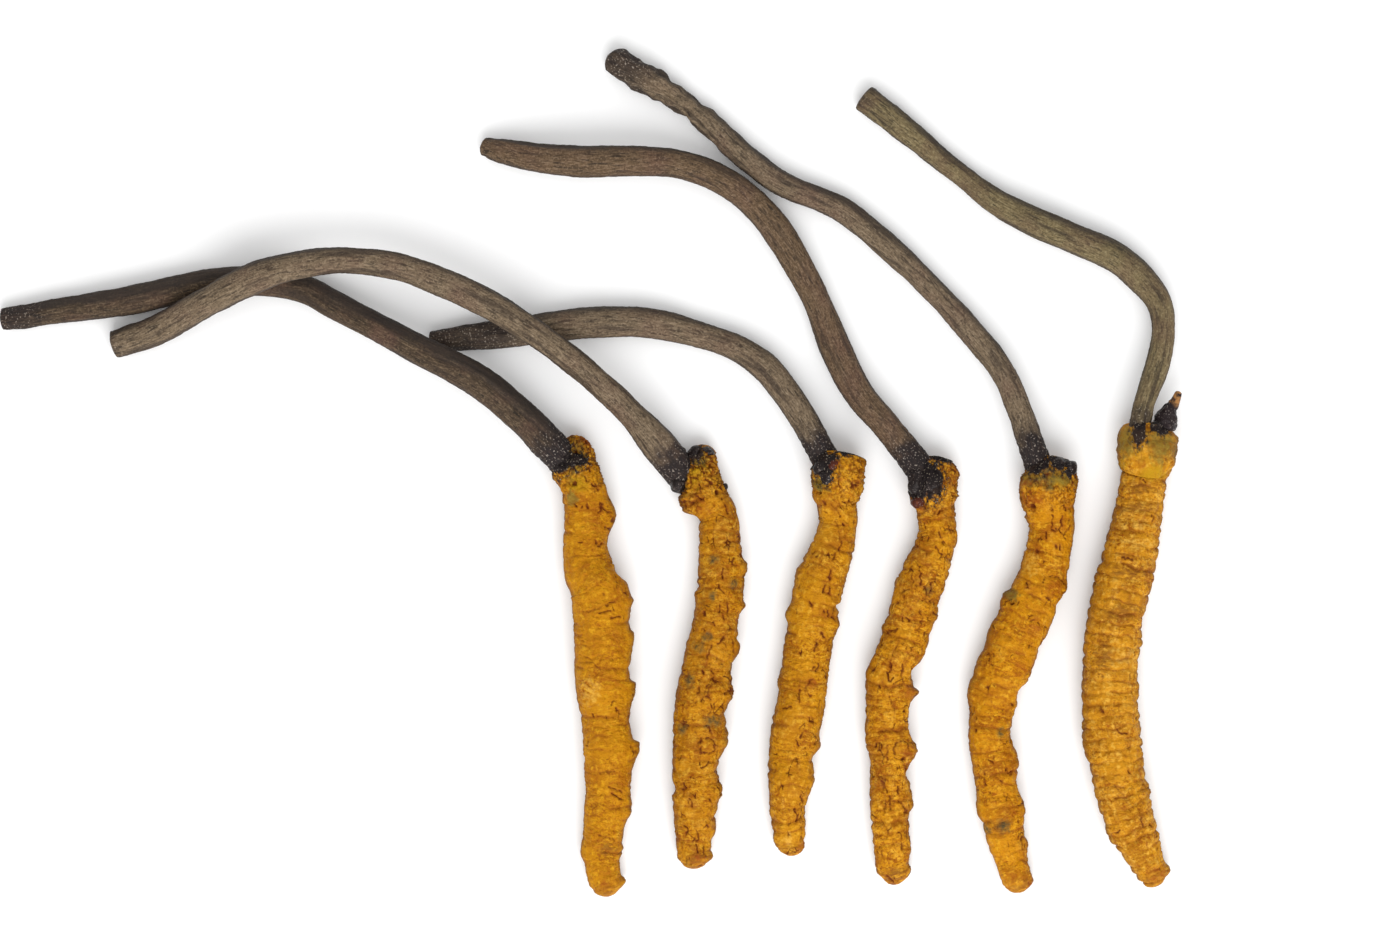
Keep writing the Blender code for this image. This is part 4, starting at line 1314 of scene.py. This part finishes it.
            Flaw.YELLOW: ((55.0, 0.7, 3.0, 1.4),),
            Flaw.RUST: ((57.6, 4.5, 0.8, 0.7), (56.5, -40.0, 1.0, 1.0)),
            Flaw.SPOT: ((58.5, 2.2, 0.38, 1.25),),
            Flaw.DUSKY: (
                (54.8, -1.6, 1.8, 0.7), (54.5, -3.6, 2.2, 0.6), (53.8, -9.9, 2.4, 0.8),
                (52.8, -13.8, 2.4, 1.0), (51.0, -18.2, 1.0, 1.4),
            ),
            Flaw.PALE: ((54.5, -5.5, 2.2, 0.4), (54.1, -7.2, 2.2, 0.5), (52.8, -18.2, 2.0, 1.2)),
        },
    ),
)

STEMS = (
    Stem(
        "stem_1", BLACKENED_FIBRE, seed=21, dark_tip=4.0, painted_shade=0.1,
        stations=(
            (-59.2, 15.4, 1.0, 1.05), (-57.0, 15.6, 1.05, 1.15), (-54.5, 16.0, 1.15, 1.23),
            (-47.0, 17.1, 1.3, 1.45), (-39.0, 18.8, 1.35, 1.5), (-34.0, 19.2, 1.3, 1.45),
            (-29.1, 18.5, 1.5, 1.43), (-25.1, 16.5, 2.0, 1.4), (-21.1, 14.4, 2.7, 1.42),
            (-16.1, 11.75, 3.35, 1.55), (-11.1, 9.1, 3.4, 1.65), (-7.0, 5.7, 3.1, 1.65),
            (-4.2, 2.9, 2.8, 1.7), (-2.6, 1.2, 2.6, 1.6),
        ),
    ),
    Stem(
        "stem_2", TAUPE_FIBRE, seed=22, sunk=0.6, dive=2.4,
        stations=(
            (-48.0, 12.7, 1.25, 1.35), (-46.0, 13.3, 1.4, 1.42), (-43.0, 14.4, 2.1, 1.45),
            (-38.0, 17.1, 3.9, 1.5), (-34.0, 19.1, 4.5, 1.55), (-30.1, 20.4, 4.5, 1.4),
            (-25.1, 21.1, 4.4, 1.3), (-20.1, 20.7, 4.35, 1.35), (-15.1, 19.1, 4.3, 1.45),
            (-10.1, 16.75, 4.3, 1.45), (-4.9, 13.5, 4.25, 1.35), (0.0, 9.7, 3.9, 1.3),
            (4.0, 5.9, 3.5, 1.38), (6.9, 2.6, 3.1, 1.75), (9.1, -0.1, 2.9, 1.75),
        ),
    ),
    Stem(
        "stem_3", TAUPE_FIBRE, seed=23, dark_tip=9.0,
        stations=(
            (-16.2, 13.1, 0.9, 1.0), (-12.1, 13.6, 1.15, 1.3), (-7.0, 14.1, 1.3, 1.45),
            (-2.0, 14.8, 1.4, 1.55), (3.0, 15.1, 1.4, 1.53), (7.0, 14.8, 1.35, 1.48),
            (10.9, 13.8, 1.25, 1.3), (14.4, 12.6, 1.3, 1.33), (17.4, 10.6, 1.6, 1.46),
            (19.4, 8.2, 1.9, 1.43), (20.9, 6.0, 2.2, 1.4), (22.1, 4.0, 2.5, 1.35), (23.6, 1.2, 2.7, 1.45),
        ),
    ),
    Stem(
        "stem_4", DARK_TAUPE_FIBRE, seed=24,
        stations=(
            (-10.9, 32.8, 0.8, 0.85), (-8.6, 32.1, 1.6, 1.25), (-5.0, 31.4, 2.4, 1.45),
            (-0.6, 31.1, 2.9, 1.57), (5.0, 31.1, 2.9, 1.52), (8.9, 30.8, 2.6, 1.42),
            (12.4, 29.6, 2.2, 1.45), (15.6, 27.6, 1.9, 1.42), (18.6, 24.3, 1.7, 1.5),
            (21.1, 20.2, 1.5, 1.45), (22.95, 16.4, 1.45, 1.38), (24.4, 12.7, 1.55, 1.55),
            (26.6, 8.3, 1.8, 1.5), (29.9, 4.3, 2.3, 1.38), (33.0, 0.3, 2.8, 1.5),
        ),
    ),
    Stem(
        "stem_5", TAUPE_FIBRE, seed=25, tip_cap=0.7, gnarl=0.36, dark_tip=4.0, painted_shade=0.35,
        stations=(
            (1.6, 41.6, 1.1, 1.1), (3.1, 40.9, 1.25, 1.35), (5.5, 39.5, 1.3, 1.4), (9.0, 37.3, 1.1, 1.1),
            (12.1, 34.8, 1.15, 1.2), (15.4, 31.7, 1.2, 1.25), (18.9, 29.1, 1.15, 1.23),
            (22.9, 27.4, 1.15, 1.2), (25.9, 25.8, 1.15, 1.25), (30.9, 21.6, 1.2, 1.26),
            (35.0, 17.55, 1.25, 1.22), (39.0, 13.1, 1.5, 1.27), (41.3, 9.9, 1.9, 1.22),
            (42.9, 6.2, 2.3, 1.25), (44.1, 2.6, 2.7, 1.3), (44.8, 0.8, 2.8, 1.4),
        ),
    ),
    Stem(
        "stem_6", OLIVE_FIBRE, seed=26, tip_cap=0.3, foot_cap=0.6, foot_length=3.2, sunk=0.5, dive=1.2,
        painted_shade=0.4,
        stations=(
            (27.2, 37.7, 1.25, 1.35), (29.4, 36.0, 1.25, 1.33), (33.0, 33.1, 1.15, 1.2),
            (37.0, 29.85, 1.05, 1.07), (41.0, 26.9, 1.25, 1.32), (45.0, 24.9, 1.4, 1.52),
            (49.0, 23.2, 1.4, 1.48), (52.5, 21.6, 1.4, 1.5), (55.1, 19.4, 1.5, 1.45),
            (56.9, 17.0, 1.7, 1.27), (57.3, 14.2, 2.0, 1.15), (56.8, 11.2, 2.5, 1.2), (55.9, 8.6, 3.1, 1.1),
            (55.1, 6.2, 3.5, 1.03), (54.5, 3.0, 4.35, 1.15),
        ),
    ),
    Stub(
        "stub_6", STUB_CRUST, seed=27, tip_cap=0.2, foot_cap=0.5,
        stations=(
            (58.75, 8.1, 3.6, 0.3), (58.3, 7.0, 3.5, 0.5), (57.8, 6.2, 3.4, 0.8), (57.45, 5.2, 3.2, 1.15),
            (57.15, 4.2, 3.1, 1.2),
        ),
    ),
)

CRUSTS = (
    Crust("crust_1", DARK_CRUST, 31, ((-2.9, 0.6, 3.0, 0.9, 0.7, 0.6, 50),)),
    Crust(
        "crust_2",
        DARK_CRUST,
        32,
        (
            (10.4, 2.0, 1.5, 0.95, 0.6, 1.0, 35), (11.6, 2.15, 1.5, 0.9, 0.5, 1.0, -25),
            (8.85, -1.2, 1.7, 0.8, 0.9, 0.9, 40), (13.45, -1.45, 2.0, 0.35, 0.3, 0.35, 60),
        ),
    ),
    Crust(
        "crust_3",
        DARK_CRUST,
        33,
        (
            (23.7, -0.45, 4.0, 0.75, 0.85, 0.5, -10), (23.1, 0.6, 3.6, 0.9, 0.7, 0.6, 30),
        ),
    ),
    Crust("lump_3", RED_CRUST, 37, ((24.25, 0.8, 4.2, 0.6, 0.5, 0.35, 50),)),
    Crust(
        "crust_4",
        DARK_CRUST,
        34,
        (
            (34.1, -1.2, 3.75, 0.8, 0.95, 0.55, -30), (32.6, -0.9, 2.9, 0.9, 1.4, 0.9, 0),
        ),
    ),
    Crust("lump_4", RED_CRUST, 38, ((32.7, -2.95, 2.9, 0.75, 0.6, 0.9, 0),)),
    Crust(
        "crust_5",
        DARK_CRUST,
        35,
        (
            (46.7, 0.9, 3.2, 0.9, 0.6, 0.9, 0), (47.8, 0.4, 2.9, 0.8, 0.9, 1.0, -40),
            (47.4, -0.3, 3.7, 0.7, 0.6, 0.5, 0),
        ),
    ),
    Crust("crust_6", DARK_CRUST, 36, ((56.5, 4.5, 3.9, 0.8, 0.6, 0.6, 20),)),
)


@dataclass(frozen=True)
class Studio:
    """The pale surface, the soft light and the camera, which looks straight down.

    The camera's frame is 140 mm wide at the middle of the bundle's height.
    """

    floor_size: float = 3.0
    lens: float = 135.0
    sensor: float = 36.0
    frame_width: float = 0.140
    middle: tuple[float, float, float] = (0.01095, -0.0001, 0.0022)
    daylight: float = 0.91
    key_watts: float = 3.1
    key_size: float = 0.6
    key_place: tuple[float, float, float] = (0.08, -0.42, 0.4)
    key_aim: tuple[float, float, float] = (0.01, 0.0, 0.0)

    def build(self) -> None:
        """Set up the surface, the light and the camera."""
        self.floor()
        self.light()
        self.camera()
        bpy.context.scene.view_settings.view_transform = "Standard"
        log.info("studio: floor, light and camera")

    def floor(self) -> None:
        """Lay the white card."""
        bm = bmesh.new()
        bmesh.ops.create_grid(bm, x_segments=1, y_segments=1, size=self.floor_size / 2)
        card, _ = made_from("floor_card", bm)
        card.data.materials.append(FloorCard().material())

    def light(self) -> None:
        """Give white light from all round, and a broad soft key from the lower right."""
        world = bpy.data.worlds.new("white_tent")
        bpy.context.scene.world = world
        world.use_nodes = True
        background = world.node_tree.nodes["Background"]
        background.inputs["Color"].default_value = (1.0, 1.0, 1.0, 1.0)
        background.inputs["Strength"].default_value = self.daylight
        lamp = bpy.data.lights.new("key", "AREA")
        lamp.shape = "DISK"
        lamp.size = self.key_size
        lamp.energy = self.key_watts
        key = bpy.data.objects.new("key", lamp)
        key.location = self.key_place
        towards = np.array(self.key_aim) - np.array(key.location)
        key.rotation_euler = (
            math.acos(-towards[2] / np.linalg.norm(towards)),
            0.0,
            math.atan2(-towards[0], towards[1]),
        )
        bpy.context.collection.objects.link(key)

    def camera(self) -> None:
        """Set the camera straight above the photograph's middle."""
        lens = bpy.data.cameras.new("camera")
        lens.lens = self.lens
        lens.sensor_width = self.sensor
        lens.clip_start = 0.01
        lens.clip_end = 20.0
        camera = bpy.data.objects.new("camera", lens)
        x, y, z = self.middle
        camera.location = (x, y, z + self.frame_width * self.lens / self.sensor)
        bpy.context.collection.objects.link(camera)
        bpy.context.scene.camera = camera


def main() -> None:
    """Build every piece in order."""
    logging.basicConfig(level=logging.INFO, format="%(name)s: %(message)s")
    Studio().build()
    for larva in LARVAE:
        larva.build()
    for stem in STEMS:
        stem.build()
    for crust in CRUSTS:
        crust.build()


if __name__ == "__main__":
    main()
